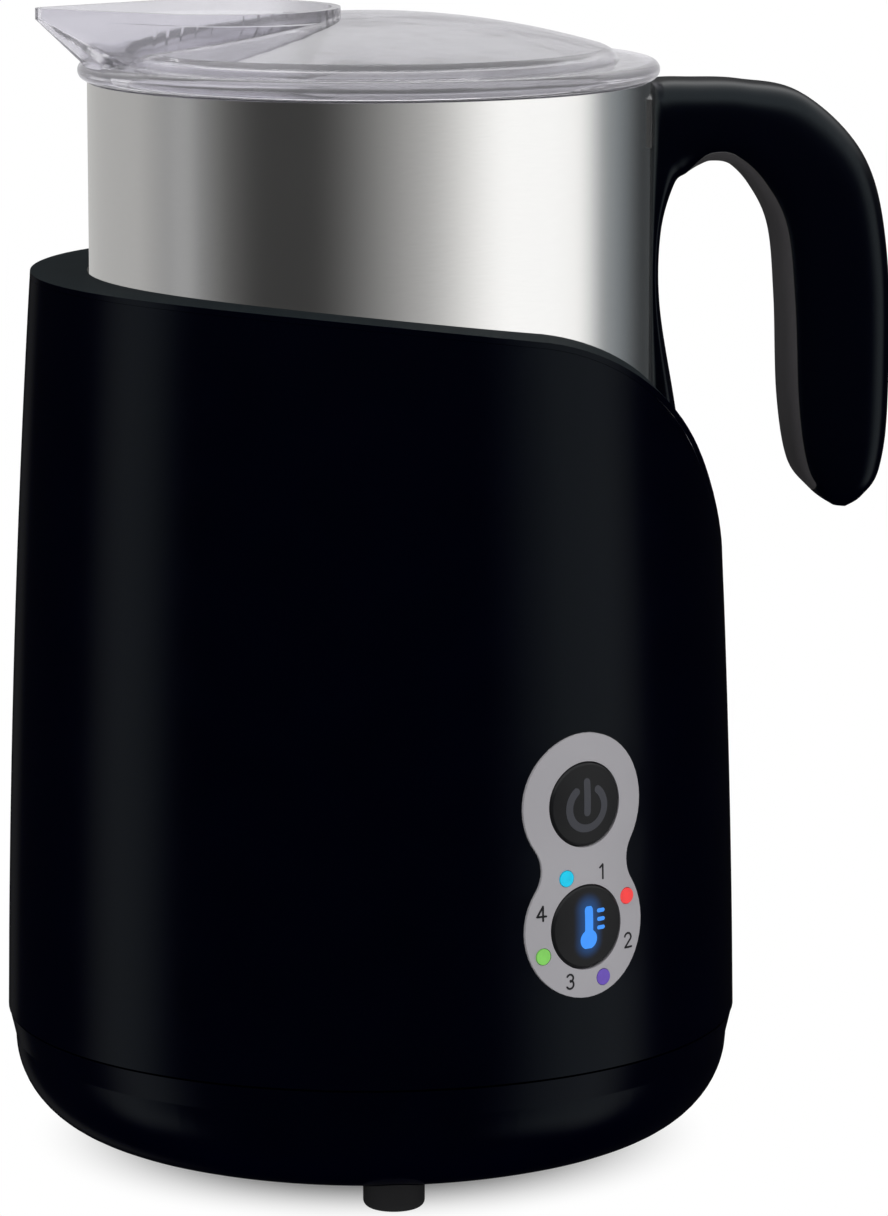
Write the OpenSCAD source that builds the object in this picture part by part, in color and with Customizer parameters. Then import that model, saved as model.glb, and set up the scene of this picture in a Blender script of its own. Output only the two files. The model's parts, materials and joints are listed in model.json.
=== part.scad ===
// Milk frother with an induction base, a lift-out steel jug and a magnet-driven whisk.
// Millimetres, +Z up. The middle of the footprint's box is the origin, the handle points to +X
// and the front is -Y. Every piece is drawn about the jug's axis and moved there by on_axis().

/* [Base unit] */
// Radius of the base unit at the parting line
base_r = 66.1; // [64:0.1:72]
// Radius of the base unit at the high side of its rim
shell_top_r = 60.5; // [58:0.1:62]
// Height of the rim at its high side, opposite the handle
rim_high_z = 159; // [137:0.5:166]
// Radius of the barrel curve of the wall, seen from the side
barrel_arc = 2550; // [1500:50:5000]
// Wall of the outer shell
shell_wall = 2.5; // [2:0.1:3]
// Height of the parting line above the table
seam_z = 24.6; // [22:0.1:28]
// Gap that shows as the parting line
seam_gap = 0.4; // [0.2:0.1:0.6]
// Thickness of the matt rim cap
rim_t = 1.0; // [0.8:0.1:2.5]
// Radius of the long curve along the top of the rim
rim_arc = 520; // [400:10:700]
// Distance of the rim's highest point from the wall opposite the handle
rim_crest = 3; // [1:0.5:10]
// Radius of the large corner where the rim drops towards the handle
corner_r = 42; // [36:1:48]
// Distance of that corner's centre from the jug's axis
corner_x = 18.2; // [15:0.1:22]
// Angle above the horizontal at which the corner runs out into a flatter curve
runout_angle = 24; // [15:1:32]
// Radius of the run-out
runout_r = 95; // [85:5:150]

/* [Bottom tray and feet] */
// Height of the underside above the table
under_z = 3.8; // [3:0.1:5]
// Radius of the rounded bottom edge
tray_fillet = 16; // [12:0.5:18]
// Wall of the bottom tray
tray_wall = 2.5; // [2:0.1:3]
// Radius of a rubber foot
foot_r = 5.4; // [4.5:0.1:6]
// Distance of the feet from the jug's axis
foot_place_r = 50; // [46:0.5:52]
// Number of vent slots in the underside
vent_count = 18; // [12:1:24]

/* [Jug] */
// Outer radius of the steel jug
jug_r = 50; // [44:0.5:51]
// Wall of the jug
jug_wall = 0.8; // [0.6:0.1:1.2]
// Height of the jug from its floor to its rim
jug_h = 105.7; // [95:0.1:125]
// Radius of the rounded bottom edge of the jug
jug_corner = 6; // [3:0.5:8]
// Height of the top of the well's floor above the table
well_floor_z = 86.6; // [82:0.1:92]
// Gap between the jug and the well
well_gap = 0.4; // [0.3:0.05:1]
// Wall of the well
well_wall = 1.8; // [1.5:0.1:2.2]
// Gap left under the jug and under the lid where they rest
seat_gap = 0.3; // [0.2:0.05:0.5]

/* [Handle] */
// Reach of the handle from the wall of the jug
handle_reach = 43.3; // [38:0.1:50]
// Height of the handle from its lowest point to its top
handle_drop = 77.5; // [70:0.5:78]
// Width of the handle
handle_w = 21; // [17:0.5:22]
// Thickness of the grip
grip_t = 19; // [14:0.1:21]
// Thickness of the arm over the fingers
arm_t = 14; // [11:0.5:17]
// Thickness of the strip that lies along the jug
strip_t = 1.7; // [1.5:0.1:3]
// Thickness of the foot that drops into the base
foot_t = 7.6; // [6:0.1:7.8]
// Thickness of the soft cover on the inner side of the grip
cover_t = 2.2; // [1.8:0.1:3]
// Gap all round the foot in its notch
notch_gap = 0.4; // [0.3:0.05:0.6]

/* [Lid] */
// Radius of the lid's flange
lid_r = 51.7; // [49:0.1:52.8]
// Thickness of the flange
flange_t = 3.3; // [2.8:0.1:4]
// Radius of the dome
dome_r = 44.6; // [40:0.1:46]
// Rise of the dome above the flange
dome_rise = 8.3; // [6:0.1:10]
// Radius of the dome's crown
dome_ball = 150; // [130:5:180]
// Radius of the dome's rounded edge
dome_edge = 3.5; // [2.5:0.1:5]
// Wall of the clear lid
lid_wall = 1.6; // [1.2:0.1:2]
// Radius of the wide end of the spout
spout_r = 21; // [16:0.5:23]
// Distance of the wide end's centre from the jug's axis
spout_back = 26; // [23:0.5:29]
// Radius of the wide end at the spout's floor
spout_floor_r = 17; // [12:0.5:18]
// Height of the upright lip round the spout
lip_h = 2; // [1:0.1:3]
// Reach of the spout's tip from the jug's axis
spout_reach = 59; // [56:0.5:62]
// Height of the spout's edge above the flange's underside
spout_rise = 12.7; // [10:0.1:15]
// Number of pouring slots
slot_count = 5; // [3:1:7]

/* [Control panel] */
// Direction of the panel, seen from above, from +X
panel_angle = -60; // [-70:1:-50]
// Height of the middle of the power button
power_z = 72.4; // [68:0.1:74]
// Distance between the two buttons
button_pitch = 21.5; // [20:0.1:23]
// Radius of a button
button_r = 7.35; // [6.5:0.05:7.5]
// Width of the plate's band round each button
plate_band = 5.05; // [4.6:0.05:5.6]
// Narrowest half-width of the plate
plate_waist = 9; // [8:0.1:10]
// How far a button can be pressed
button_travel = 0.8; // [0.5:0.1:1]
// Radius of a lamp lens
lamp_r = 1.4; // [1.2:0.1:1.4]
// Distance of the lamps' middles from the edge of the lower button
lamp_off = 2.55; // [2.5:0.05:2.8]

/* [Drive and heating] */
// Radius of the motor
motor_r = 14; // [11:0.5:16]
// Length of the motor's can
motor_h = 30; // [20:1:32]
// Radius of the motor's shaft
shaft_r = 1.5; // [1.2:0.1:2]
// Running clearance of a shaft in its bore
run_gap = 0.05; // [0.03:0.01:0.08]
// Radius of the magnet carrier
carrier_r = 12; // [11:0.5:12]
// Inner radius of the coil
coil_in_r = 22; // [21:0.5:24]
// Number of turns of the coil
coil_turns = 9; // [6:1:9]
// Thickness of the coil's litz wire
litz_d = 2.6; // [2:0.1:2.6]

/* [Whisk] */
// Radius of the whisk's hub
hub_r = 15.5; // [14:0.5:18]
// Height of the hub
hub_h = 7; // [6.5:0.5:9]
// Radius of the spindle
spindle_r = 1.5; // [1.2:0.1:2]
// Radius of one turn of the frothing coil
froth_turn_r = 2.4; // [2:0.1:2.6]
// Thickness of the frothing coil's wire
froth_wire = 0.9; // [0.7:0.1:1]
// Number of turns of the frothing coil
froth_turns = 30; // [20:1:36]

/* [Hidden] */
$fn = 96;
fine = 720;
eps = 0.01;

// Colours
gloss_black = [0.03, 0.03, 0.035];
matt_black = [0.10, 0.11, 0.115];
rubber_black = [0.07, 0.07, 0.07];
silver = [0.72, 0.72, 0.74];
steel = [0.75, 0.76, 0.77];
dark_metal = [0.35, 0.35, 0.37];
copper = [0.72, 0.42, 0.22];
board_green = [0.08, 0.32, 0.16];
clear_plastic = [0.86, 0.85, 0.90, 0.45];
silicone = [0.85, 0.85, 0.87];
ivory = [0.88, 0.86, 0.80];

// Place of the jug's axis: the box from the base to the end of the handle is centred on X = 0
handle_end = jug_r + handle_reach;
axis_x = -(handle_end - base_r) / 2;

// Barrel curve of the wall, through the parting line and the rim's high side
barrel_run = [shell_top_r - base_r, rim_high_z - seam_z];
barrel_chord = norm(barrel_run);
barrel_out = [barrel_run[1], -barrel_run[0]] / barrel_chord;
barrel_back = sqrt(pow(barrel_arc, 2) - pow(barrel_chord / 2, 2));
barrel_c = [(base_r + shell_top_r) / 2, (seam_z + rim_high_z) / 2] - barrel_out * barrel_back;
function barrel_at(z, inset = 0) =
    barrel_c[0] + sqrt(pow(barrel_arc - inset, 2) - pow(z - barrel_c[1], 2));

// Rim curve in side view: a long arc that runs into a large corner, then out into the wall
rim_c = [rim_crest - shell_top_r, rim_high_z - rim_arc];
rim_kink = 0.03;
corner_z = rim_c[1] + sqrt(pow(rim_arc - corner_r + rim_kink, 2) - pow(corner_x - rim_c[0], 2));
corner_c = [corner_x, corner_z];
turn_dir = (corner_c - rim_c) / norm(corner_c - rim_c);
runout_dir = [cos(runout_angle), sin(runout_angle)];
runout_c = corner_c - runout_dir * (runout_r - corner_r - rim_kink);

// Jug and well
jug_z = well_floor_z + seat_gap;
jug_top = jug_z + jug_h;
well_r = jug_r + well_gap;
well_out = well_r + well_wall;
well_floor_t = 2.5;
well_under = well_floor_z - well_floor_t;

// Handle
handle_top = jug_top - 0.3;
handle_low = handle_top - handle_drop;
notch_x = jug_r + foot_t + notch_gap;
notch_w = handle_w + 2 * notch_gap;
notch_wall = 1.2;
jug_hug = 0.22;
// [outer x, outer z, inner x, inner z, width] of each section, from the jug's wall and the top;
// the outer line runs up the jug, over the arm and down the back of the grip
handle_sections = [
    [0, -handle_drop, foot_t, -handle_drop, handle_w],
    [0, -58, strip_t + 2.9, -58, handle_w],
    [0, -40, strip_t, -40, handle_w],
    [0, -27, strip_t + 0.1, -27, handle_w],
    [0, -10, strip_t + 2.4, -arm_t - 4.6, handle_w],
    [0, -2.4, strip_t + 4.6, -arm_t - 2.6, handle_w],
    [1.5, -0.2, strip_t + 6.8, -arm_t - 1.2, handle_w],
    [8, 0, strip_t + 9.2, -arm_t - 0.4, handle_w],
    [17, -0.4, strip_t + 12.8, -arm_t - 1.2, handle_w],
    [handle_reach - 15.2, -3, handle_reach - grip_t - 5.6, -arm_t - 5.4, handle_w],
    [handle_reach - 4.5, -14.3, handle_reach - grip_t - 2, -arm_t - 13, handle_w],
    [handle_reach - 0.4, -32, handle_reach - grip_t - 0.7, -arm_t - 26, handle_w],
    [handle_reach, 20 - handle_drop, handle_reach - grip_t, 20 - handle_drop, handle_w],
    [handle_reach - 1.4, 7.5 - handle_drop, handle_reach - grip_t + 1.9, 8.3 - handle_drop, handle_w - 1],
    [handle_reach - 4.4, 2.6 - handle_drop, handle_reach - 13.7, 3.4 - handle_drop, handle_w - 4],
    [handle_reach - 7.1, 0.4 - handle_drop, handle_reach - 10, 0.7 - handle_drop, handle_w - 11]
];
ring_sides = 26;
ring_steps = 4;
cover_from = 5.5;
cover_to = 13.75;
cover_gap = 0.12;
section_power = 0.5;
hug_depth = 12;

// Lid
flange_z = jug_top + seat_gap;
flange_top = flange_z + flange_t;
flange_edge = flange_t / 2;
dome_c = flange_top + dome_rise - dome_ball;
plug_depth = 6.5;
seal_t = 0.9;
plug_r = jug_r - jug_wall - seal_t - 0.2;
spout_top = flange_z + spout_rise;
tip_r = 2.5;
dome_kink = 0.03;

// Control panel
mode_z = power_z - button_pitch;
plate_mid_z = (power_z + mode_z) / 2;
plate_r = button_r + plate_band;
lamp_ring = button_r + lamp_off;
plate_sunk = 1.2;
plate_proud = 0.4;
neck_r = (pow(button_pitch / 2, 2) + pow(plate_waist, 2) - pow(plate_r, 2))
    / (2 * (plate_r - plate_waist));
neck_x = plate_waist + neck_r;
neck_angle = atan2(button_pitch / 2, neck_x);
slide_gap = 0.15;
lamp_angles = [25, 115, 205, 290];
lamp_colours = [[0.90, 0.15, 0.12], [0.15, 0.75, 0.85], [0.35, 0.75, 0.30], [0.45, 0.35, 0.75]];
button_skirt = 0.45;
skirt_t = 1;
skirt_room = 0.8;
skirt_front = panel_face(button_r + button_skirt, power_z + button_r, shell_wall) - skirt_room;
board_front = skirt_front - 8.7;
board_t = 1.6;
board_w = 28;
board_low = mode_z - 16.8;
board_high = power_z + 9.7;
board_post_x = 11;
board_post_in = 4;
switch_h = 3.5;
plunger_r = 1.6;
plunger_low = board_front + 1 + button_travel + 0.1;
stem_len = 2;
cap_edge = 0.7;
crown_r = 42;

// Drive and heating, stacked downwards from the well's floor
post_len = 7.5;
former_t = 2.5;
former_top = well_under - post_len;
former_hole = coil_in_r - 3;
coil_out_r = coil_in_r + coil_turns * (litz_d - 0.3) + 0.3;
post_r = 3.2;
post_place_r = coil_out_r + post_r + 0.4;
former_r = post_place_r + post_r + 0.4;
post_angles = [45, 165, 285];
coil_z = former_top + 0.2;
ferrite_t = 3.9;
ferrite_z = former_top - former_t - ferrite_t - 0.1;
bracket_t = 2;
bracket_z = ferrite_z - 4;
motor_top = bracket_z;
carrier_h = 5.5;
carrier_z = well_under - 1 - carrier_h;
magnet_r = 3;
magnet_h = 3;
magnet_place_r = 7.5;
sensor_r = 2.4;
sensor_place_r = (carrier_r + former_hole) / 2 + 0.3;

// Whisk
spindle_base = jug_z + jug_wall;
hub_z = spindle_base + 1 + seat_gap;
froth_ring_r = hub_r + 2.3;
froth_z = hub_z + hub_h / 2 + 0.5;
spindle_top = spindle_base + 18;
froth_steps = 8;
froth_sides = 6;

// Bottom tray
tray_low_r = base_r - 1.3;
tray_top_r = base_r - 0.2;
tray_floor = under_z + tray_wall;
spigot_t = 1.8;
spigot_h = 3;
spigot_out = barrel_at(seam_z + spigot_h, shell_wall) - 0.15;
foot_angles = [-90, 30, 150];
foot_edge = 1.2;
screw_angles = [-15, 105, 225];
screw_place_r = 49;
boss_r = 4;
boss_top = seam_z + 21.5;
boss_low = tray_floor + 0.8;
screw_sink = 1.5;
main_board_z = tray_floor + 6;
main_board_t = 1.6;
main_board_r = 44.5;
standoff_angles = [45, 165, 285];
standoff_place_r = 40;
cord_r = 3.2;
bush_r = 4.4;
bush_lip = 0.9;
bush_z = seam_z - bush_r - bush_lip - 0.7;

// ---- helpers ----

module on_axis() translate([axis_x, 0, 0]) children();

// Turns an X-Z side view into a slab that runs across Y
module side_slab(w) rotate([90, 0, 0]) linear_extrude(w, center = true) children();

// Puts local Z on the outward line of the panel, local X to its right and local Y up
module at_panel(z = 0) translate([0, 0, z]) rotate([0, 0, panel_angle]) rotate([90, 0, 90]) children();

module around(angles, r) for (a = angles) rotate([0, 0, a]) translate([r, 0, 0]) children();

module barrel_area(inset, low, high) intersection() {
    translate([0, low]) square([base_r + 5, high - low]);
    translate(barrel_c) circle(r = barrel_arc - inset, $fn = fine);
}

// Side view of all that lies under the rim, taken in by an even distance
module under_rim_area(inset) {
    far = 2 * base_r;
    join_x = rim_c[0] + turn_dir[0] * rim_arc;
    intersection() {
        translate(rim_c) circle(r = rim_arc - inset, $fn = fine);
        union() {
            translate(corner_c) circle(r = corner_r - inset, $fn = fine / 2);
            translate([-far, 0]) square([far + join_x, 2 * rim_high_z]);
            translate([-far, 0]) square([2 * far, runout_c[1]]);
            intersection() {
                translate(runout_c) circle(r = runout_r - inset, $fn = fine);
                translate([-far, 0]) square([2 * far, corner_z + corner_r * runout_dir[1]]);
            }
        }
    }
}

module cup_area(r, low, high, c) {
    translate([0, low + c]) square([r, high - low - c]);
    translate([0, low]) square([r - c, c + eps]);
    translate([r - c, low + c]) circle(r = c);
}

module slot_area(len, w) {
    square([len - w, w], center = true);
    for (s = [-1, 1]) translate([s * (len - w) / 2, 0]) circle(d = w);
}

function arc(c, r, from, to, n) =
    [for (i = [0 : n]) c + r * [cos(from + (to - from) * i / n), sin(from + (to - from) * i / n)]];

// Outline of the two-ring panel plate, grown evenly
module plate_area(grow = 0) {
    half = button_pitch / 2;
    polygon(concat(
        arc([0, half], plate_r + grow, -neck_angle, 180 + neck_angle, 36),
        arc([-neck_x, 0], neck_r - grow, neck_angle, -neck_angle, 8),
        arc([0, -half], plate_r + grow, 180 - neck_angle, 360 + neck_angle, 36),
        arc([neck_x, 0], neck_r - grow, 180 + neck_angle, 180 - neck_angle, 8)
    ));
}

// Places on the panel: the outline above is centred between the buttons
module at_lamps() for (a = lamp_angles) at_lamp(a) children();
module at_lamp(a) at_panel(mode_z) translate(lamp_ring * [cos(a), sin(a), 0]) children();

// Distance of the wall's outer face from the jug's axis along the panel's outward line
function panel_face(u, z, inset = 0) = sqrt(pow(barrel_at(z, inset), 2) - pow(u, 2));

module pan_screw(shank_r, len, head_r, head_h) difference() {
    union() {
        cylinder(r = shank_r, h = len);
        translate([0, 0, -head_h]) cylinder(r = head_r, h = head_h);
    }
    for (a = [0, 90]) rotate([0, 0, a]) translate([-head_r * 0.6, -head_r * 0.12, -head_h - eps])
        cube([head_r * 1.2, head_r * 0.24, head_h * 0.6]);
}

// ---- base unit ----

module outer_shell() color(gloss_black) on_axis() difference() {
    union() {
        intersection() {
            rotate_extrude() difference() {
                barrel_area(0, seam_z + seam_gap, rim_high_z + 1);
                barrel_area(shell_wall, seam_z, rim_high_z + 2);
            }
            side_slab(3 * base_r) under_rim_area(rim_t + 0.05);
        }
        intersection() {
            union() {
                around(screw_angles, screw_place_r) screw_boss();
                for (x = [-1, 1], z = [board_low + board_post_in, board_high - board_post_in])
                    at_panel(z) translate([x * board_post_x, 0, board_front + 0.1]) cylinder(r = 2.6, h = 20);
            }
            rotate_extrude() barrel_area(shell_wall / 2, tray_floor, rim_high_z);
        }
    }
    around(screw_angles, screw_place_r) translate([0, 0, tray_floor]) cylinder(r = 1.4, h = 16);
    for (x = [-1, 1], z = [board_low + board_post_in, board_high - board_post_in])
        at_panel(z) translate([x * board_post_x, 0, board_front]) cylinder(r = 0.9, h = 6);
    panel_recess();
    for (z = [power_z, mode_z]) at_panel(z) translate([0, 0, board_front + 5])
        cylinder(r = button_r + slide_gap, h = 20);
    at_lamps() translate([0, 0, board_front + 7]) cylinder(r = lamp_r + 0.1, h = 20);
}

// Boss that takes a tray screw, with the web that ties it to the wall
module screw_boss() {
    translate([0, 0, boss_low]) cylinder(r = boss_r, h = boss_top - boss_low);
    translate([0, -0.9, seam_z + 4]) cube([base_r - screw_place_r, 1.8, boss_top - seam_z - 4]);
}

module panel_recess() difference() {
    at_panel(plate_mid_z) translate([0, 0, base_r - 12]) linear_extrude(20) plate_area(0.1);
    rotate_extrude() barrel_area(plate_sunk, seam_z, rim_high_z);
}

// Matt rim cap, well and the notch for the handle's foot, in one moulding
module jug_well() color(matt_black) on_axis() difference() {
    union() {
        difference() {
            intersection() {
                rotate_extrude() barrel_area(0, well_under, rim_high_z + 1);
                side_slab(3 * base_r) under_rim_area(0);
            }
            difference() {
                side_slab(4 * base_r) under_rim_area(rim_t);
                cylinder(r = well_out, h = 2 * rim_high_z);
                intersection() {
                    translate([0, -notch_w / 2 - notch_wall, handle_low - 2.4])
                        cube([notch_x + notch_wall, notch_w + 2 * notch_wall, rim_high_z]);
                    rotate_extrude() barrel_area(shell_wall + 0.2, well_under, rim_high_z);
                }
            }
        }
        around(post_angles, post_place_r) translate([0, 0, former_top])
            cylinder(r = post_r, h = post_len + 1);
    }
    translate([0, 0, well_floor_z]) cylinder(r = well_r, h = rim_high_z);
    translate([0, -notch_w / 2, handle_low - notch_gap]) cube([notch_x, notch_w, rim_high_z]);
    around(post_angles, post_place_r) translate([0, 0, former_top - 1]) cylinder(r = 1.2, h = 7);
    around([90], sensor_place_r) translate([0, 0, well_under - 1]) cylinder(r = sensor_r + 0.1, h = 6);
}

module tray_area(inset) {
    r = tray_fillet - inset;
    low = under_z + inset;
    polygon([
        [0, low], [tray_low_r - tray_fillet, low], [tray_low_r - inset, under_z + tray_fillet],
        [tray_top_r - inset, seam_z], [0, seam_z]
    ]);
    intersection() {
        translate([tray_low_r - tray_fillet, under_z + tray_fillet]) circle(r = r);
        square([base_r, seam_z]);
    }
}

module bottom_tray() color(gloss_black) on_axis() difference() {
    union() {
        rotate_extrude() difference() {
            tray_area(0);
            tray_area(tray_wall);
            translate([0, seam_z - eps]) square([tray_top_r - tray_wall, 1]);
        }
        // Spigot that centres the shell
        rotate_extrude() translate([spigot_out - spigot_t, seam_z - 4]) {
            square([tray_top_r - 1 - spigot_out + spigot_t, 3.9]);
            square([spigot_t, 4 + spigot_h]);
        }
        around(standoff_angles, standoff_place_r) translate([0, 0, tray_floor - 1])
            cylinder(r = 3.2, h = main_board_z - tray_floor + 1 - 0.1);
    }
    around(screw_angles, screw_place_r) {
        translate([0, 0, under_z - 1]) cylinder(r = 1.7, h = 10);
        translate([0, 0, under_z - 1]) cylinder(r = 3.3, h = 1 + screw_sink);
    }
    around(foot_angles, foot_place_r) translate([0, 0, under_z - 1]) cylinder(r = 2.6, h = 10);
    for (i = [0 : vent_count - 1]) rotate([0, 0, (i + 0.5) * 360 / vent_count])
        translate([30, 0, under_z - 1]) linear_extrude(10) slot_area(16, 2.6);
    around(standoff_angles, standoff_place_r) translate([0, 0, tray_floor + 1]) cylinder(r = 1.1, h = 10);
    at_cord() translate([0, 0, base_r - 10]) cylinder(r = bush_r + 0.1, h = 20);
    at_cord() translate([0, 0, base_r - 1.8]) cylinder(r = bush_r + bush_lip + 0.1, h = 20);
}

// Pad whose top follows the tray's curve
module foot_pad(angle) difference() {
    around([angle], foot_place_r) rotate_extrude() {
        translate([0, foot_edge]) square([foot_r, tray_floor]);
        square([foot_r - foot_edge, foot_edge + eps]);
        translate([foot_r - foot_edge, foot_edge]) circle(r = foot_edge);
    }
    rotate_extrude() tray_area(-0.1);
}

// Rubber foot: its stem goes through the tray and snaps in behind it
module foot_at(angle) color(rubber_black) on_axis() {
    foot_pad(angle);
    around([angle], foot_place_r) translate([0, 0, foot_edge]) {
        cylinder(r = 2.5, h = tray_floor - foot_edge + 0.4);
        cylinder(r = 2.2, h = tray_floor - foot_edge + 1.2);
        translate([0, 0, tray_floor - foot_edge + 0.9]) cylinder(r = 3, h = 1.2);
    }
}

module tray_screws() color(dark_metal) on_axis() around(screw_angles, screw_place_r)
    translate([0, 0, under_z + screw_sink]) pan_screw(1.3, 14, 2.8, 1);

// Puts local Z on the outward line of the cord's way in, at the back
module at_cord() rotate([0, 0, 90]) translate([0, 0, bush_z]) rotate([0, 90, 0]) children();

// Bush of the cord's way in; its bore takes the cord
module cord_bush() color(rubber_black) on_axis() at_cord() difference() {
    union() {
        translate([0, 0, base_r - 7]) cylinder(r = bush_r, h = 6.4);
        translate([0, 0, base_r - 1.7]) cylinder(r = bush_r + bush_lip, h = 1.1);
        translate([0, 0, base_r - 7]) cylinder(r = bush_r + bush_lip, h = 1.5);
    }
    translate([0, 0, base_r - 10]) cylinder(r = cord_r, h = 20);
}

// ---- control panel ----

module control_plate() color(silver) on_axis() difference() {
    intersection() {
        at_panel(plate_mid_z) translate([0, 0, base_r - 12]) linear_extrude(20) plate_area();
        rotate_extrude() difference() {
            barrel_area(-plate_proud, seam_z, rim_high_z);
            barrel_area(plate_sunk - 0.1, seam_z - 1, rim_high_z + 1);
        }
    }
    for (z = [power_z, mode_z]) at_panel(z) translate([0, 0, base_r - 15])
        cylinder(r = button_r + slide_gap, h = 20);
    at_lamps() translate([0, 0, base_r - 15]) cylinder(r = lamp_r + 0.1, h = 20);
}

module lamp(i) {
    z = mode_z + lamp_ring * sin(lamp_angles[i]);
    front = panel_face(lamp_ring * cos(lamp_angles[i]), z);
    back = skirt_front - 2;
    color(lamp_colours[i]) on_axis() at_lamp(lamp_angles[i]) translate([0, 0, back]) {
        cylinder(r = lamp_r, h = front + 0.5 - back);
        cylinder(r = lamp_r + 0.5, h = 1.2);
    }
}

module control_board() color(board_green) on_axis() difference() {
    at_panel(board_low) translate([-board_w / 2, 0, board_front - board_t])
        cube([board_w, board_high - board_low, board_t]);
    for (x = [-1, 1], z = [board_low + board_post_in, board_high - board_post_in])
        at_panel(z) translate([x * board_post_x, 0, board_front - 5]) cylinder(r = 1.2, h = 10);
}

module board_screws() color(dark_metal) on_axis()
    for (x = [-1, 1], z = [board_low + board_post_in, board_high - board_post_in])
        at_panel(z) translate([x * board_post_x, 0, board_front - board_t - 0.05])
            pan_screw(0.85, 6.5, 1.9, 1);

module touch_switch(z) color(dark_metal) on_axis() difference() {
    at_panel(z) translate([-3, -3, board_front + 0.05]) cube([6, 6, switch_h]);
    at_panel(z) translate([0, 0, board_front + 1]) cylinder(r = plunger_r + run_gap, h = 10);
}

module indicator_leds() color(ivory) on_axis() {
    at_lamps() translate([0, 0, board_front + 0.05]) {
        cylinder(r = 1.5, h = 2.4);
        translate([0, 0, 2.4]) sphere(r = 1.5);
    }
    at_panel(mode_z) translate([-5.4, 0, board_front + 0.05]) cylinder(r = 1.2, h = 3);
}

// Button cap: crowned face, skirt that keeps it behind the wall, stem that meets the switch
module button(z) color(gloss_black) on_axis() at_panel(z) {
    front = panel_face(0, z) + plate_proud + 0.5;
    low = skirt_front - 0.1;
    flat_r = button_r - cap_edge;
    edge_z = front - crown_r + sqrt(pow(crown_r, 2) - pow(flat_r, 2));
    rotate_extrude() intersection() {
        translate([0, front - crown_r]) circle(r = crown_r, $fn = fine);
        union() {
            translate([0, low]) square([flat_r, front - low]);
            translate([0, low]) square([button_r, edge_z - cap_edge - low]);
            translate([flat_r, edge_z - cap_edge]) circle(r = cap_edge);
        }
    }
    translate([0, 0, skirt_front - skirt_t]) cylinder(r = button_r + button_skirt, h = skirt_t);
    translate([0, 0, skirt_front - skirt_t - stem_len]) cylinder(r = 2.4, h = stem_len + 0.1);
}

module plunger(z) color(ivory) on_axis() at_panel(z) translate([0, 0, plunger_low])
    cylinder(r = plunger_r, h = skirt_front - skirt_t - stem_len - 0.1 - plunger_low);

// ---- electronics on the bottom tray ----

module main_board() color(board_green) on_axis() difference() {
    translate([0, 0, main_board_z]) cylinder(r = main_board_r, h = main_board_t);
    around(standoff_angles, standoff_place_r) translate([0, 0, main_board_z - 1]) cylinder(r = 1.5, h = 5);
}

module board_posts() color(dark_metal) on_axis() around(standoff_angles, standoff_place_r)
    translate([0, 0, main_board_z + main_board_t + 0.05]) rotate([180, 0, 0]) pan_screw(1.05, 6, 2.4, 1);

module on_board(x, y) on_axis() translate([x, y, main_board_z + main_board_t + 0.05]) children();

module transformer() on_board(-24, -8) color([0.75, 0.62, 0.15]) {
    translate([-9, -8, 0]) cube([18, 16, 3]);
    translate([-6, -10, 3]) cube([12, 20, 11]);
    translate([-9, -8, 14]) cube([18, 16, 3]);
}

module filter_capacitors() color([0.10, 0.12, 0.35]) {
    for (i = [0 : 1]) on_board(-14 + 15 * i, 27) {
        cylinder(r = 6, h = 18);
        translate([0, 0, 18]) cylinder(r = 5.4, h = 0.6);
    }
}

module relay() on_board(25, -18) color([0.15, 0.30, 0.55]) translate([-7.5, -9.5, 0]) cube([15, 19, 14]);

// Finned heat sink
module heat_sink() on_board(30, 12) color(silver) {
    translate([-2, -11, 0]) cube([3, 22, 16]);
    for (i = [0 : 5]) translate([0.9, -11 + 4.04 * i, 0]) cube([8, 1.8, 16]);
}

module power_transistor() on_board(25.3, 12) color(matt_black) {
    translate([-2.2, -5, 3]) cube([4.7, 10, 11]);
    for (y = [-2.5, 0, 2.5]) translate([-0.3, y - 0.4, 0]) cube([0.6, 0.8, 3.1]);
}

module terminal_block() on_board(12, 38) color(ivory) difference() {
    translate([-8, -4, 0]) cube([16, 8, 9]);
    for (x = [-4, 4]) translate([x, 5, 4]) rotate([90, 0, 0]) cylinder(r = 1.8, h = 6);
    for (x = [-4, 4]) translate([x, 0, 5]) cylinder(r = 1.5, h = 6);
}

// ---- coil and drive under the well ----

module coil_former() color(ivory) on_axis() difference() {
    union() {
        translate([0, 0, former_top - former_t]) cylinder(r = former_r, h = former_t);
        translate([0, 0, former_top - 0.5]) cylinder(r = coil_in_r - 1.5, h = 5);
    }
    translate([0, 0, former_top - 5]) cylinder(r = former_hole, h = 20);
    around(post_angles, post_place_r) translate([0, 0, former_top - 5]) cylinder(r = 1.6, h = 10);
    for (a = post_angles) rotate([0, 0, a + 60]) translate([former_r, 0, former_top - 5])
        cylinder(r = 7, h = 10);
    around([30, 150, 270], 36) translate([0, 0, former_top - 5]) cylinder(r = 1.2, h = 10);
}

module former_screws() color(dark_metal) on_axis() around(post_angles, post_place_r)
    translate([0, 0, former_top - former_t - 0.05]) pan_screw(1.15, 8, 2.6, 1.2);

// Flat winding, each turn a round wire bedded against the next
module induction_coil() color(copper) on_axis() translate([0, 0, coil_z]) rotate_extrude() {
    step = litz_d - 0.3;
    for (i = [0 : coil_turns - 1]) translate([coil_in_r + litz_d / 2 + step * i, litz_d / 2])
        circle(d = litz_d, $fn = 32);
}

module ferrite_bars() color(dark_metal) on_axis() for (i = [0 : 5]) rotate([0, 0, 60 * i])
    translate([coil_in_r - 2, -4, ferrite_z]) cube([coil_out_r - coil_in_r + 2, 8, ferrite_t]);

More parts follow.
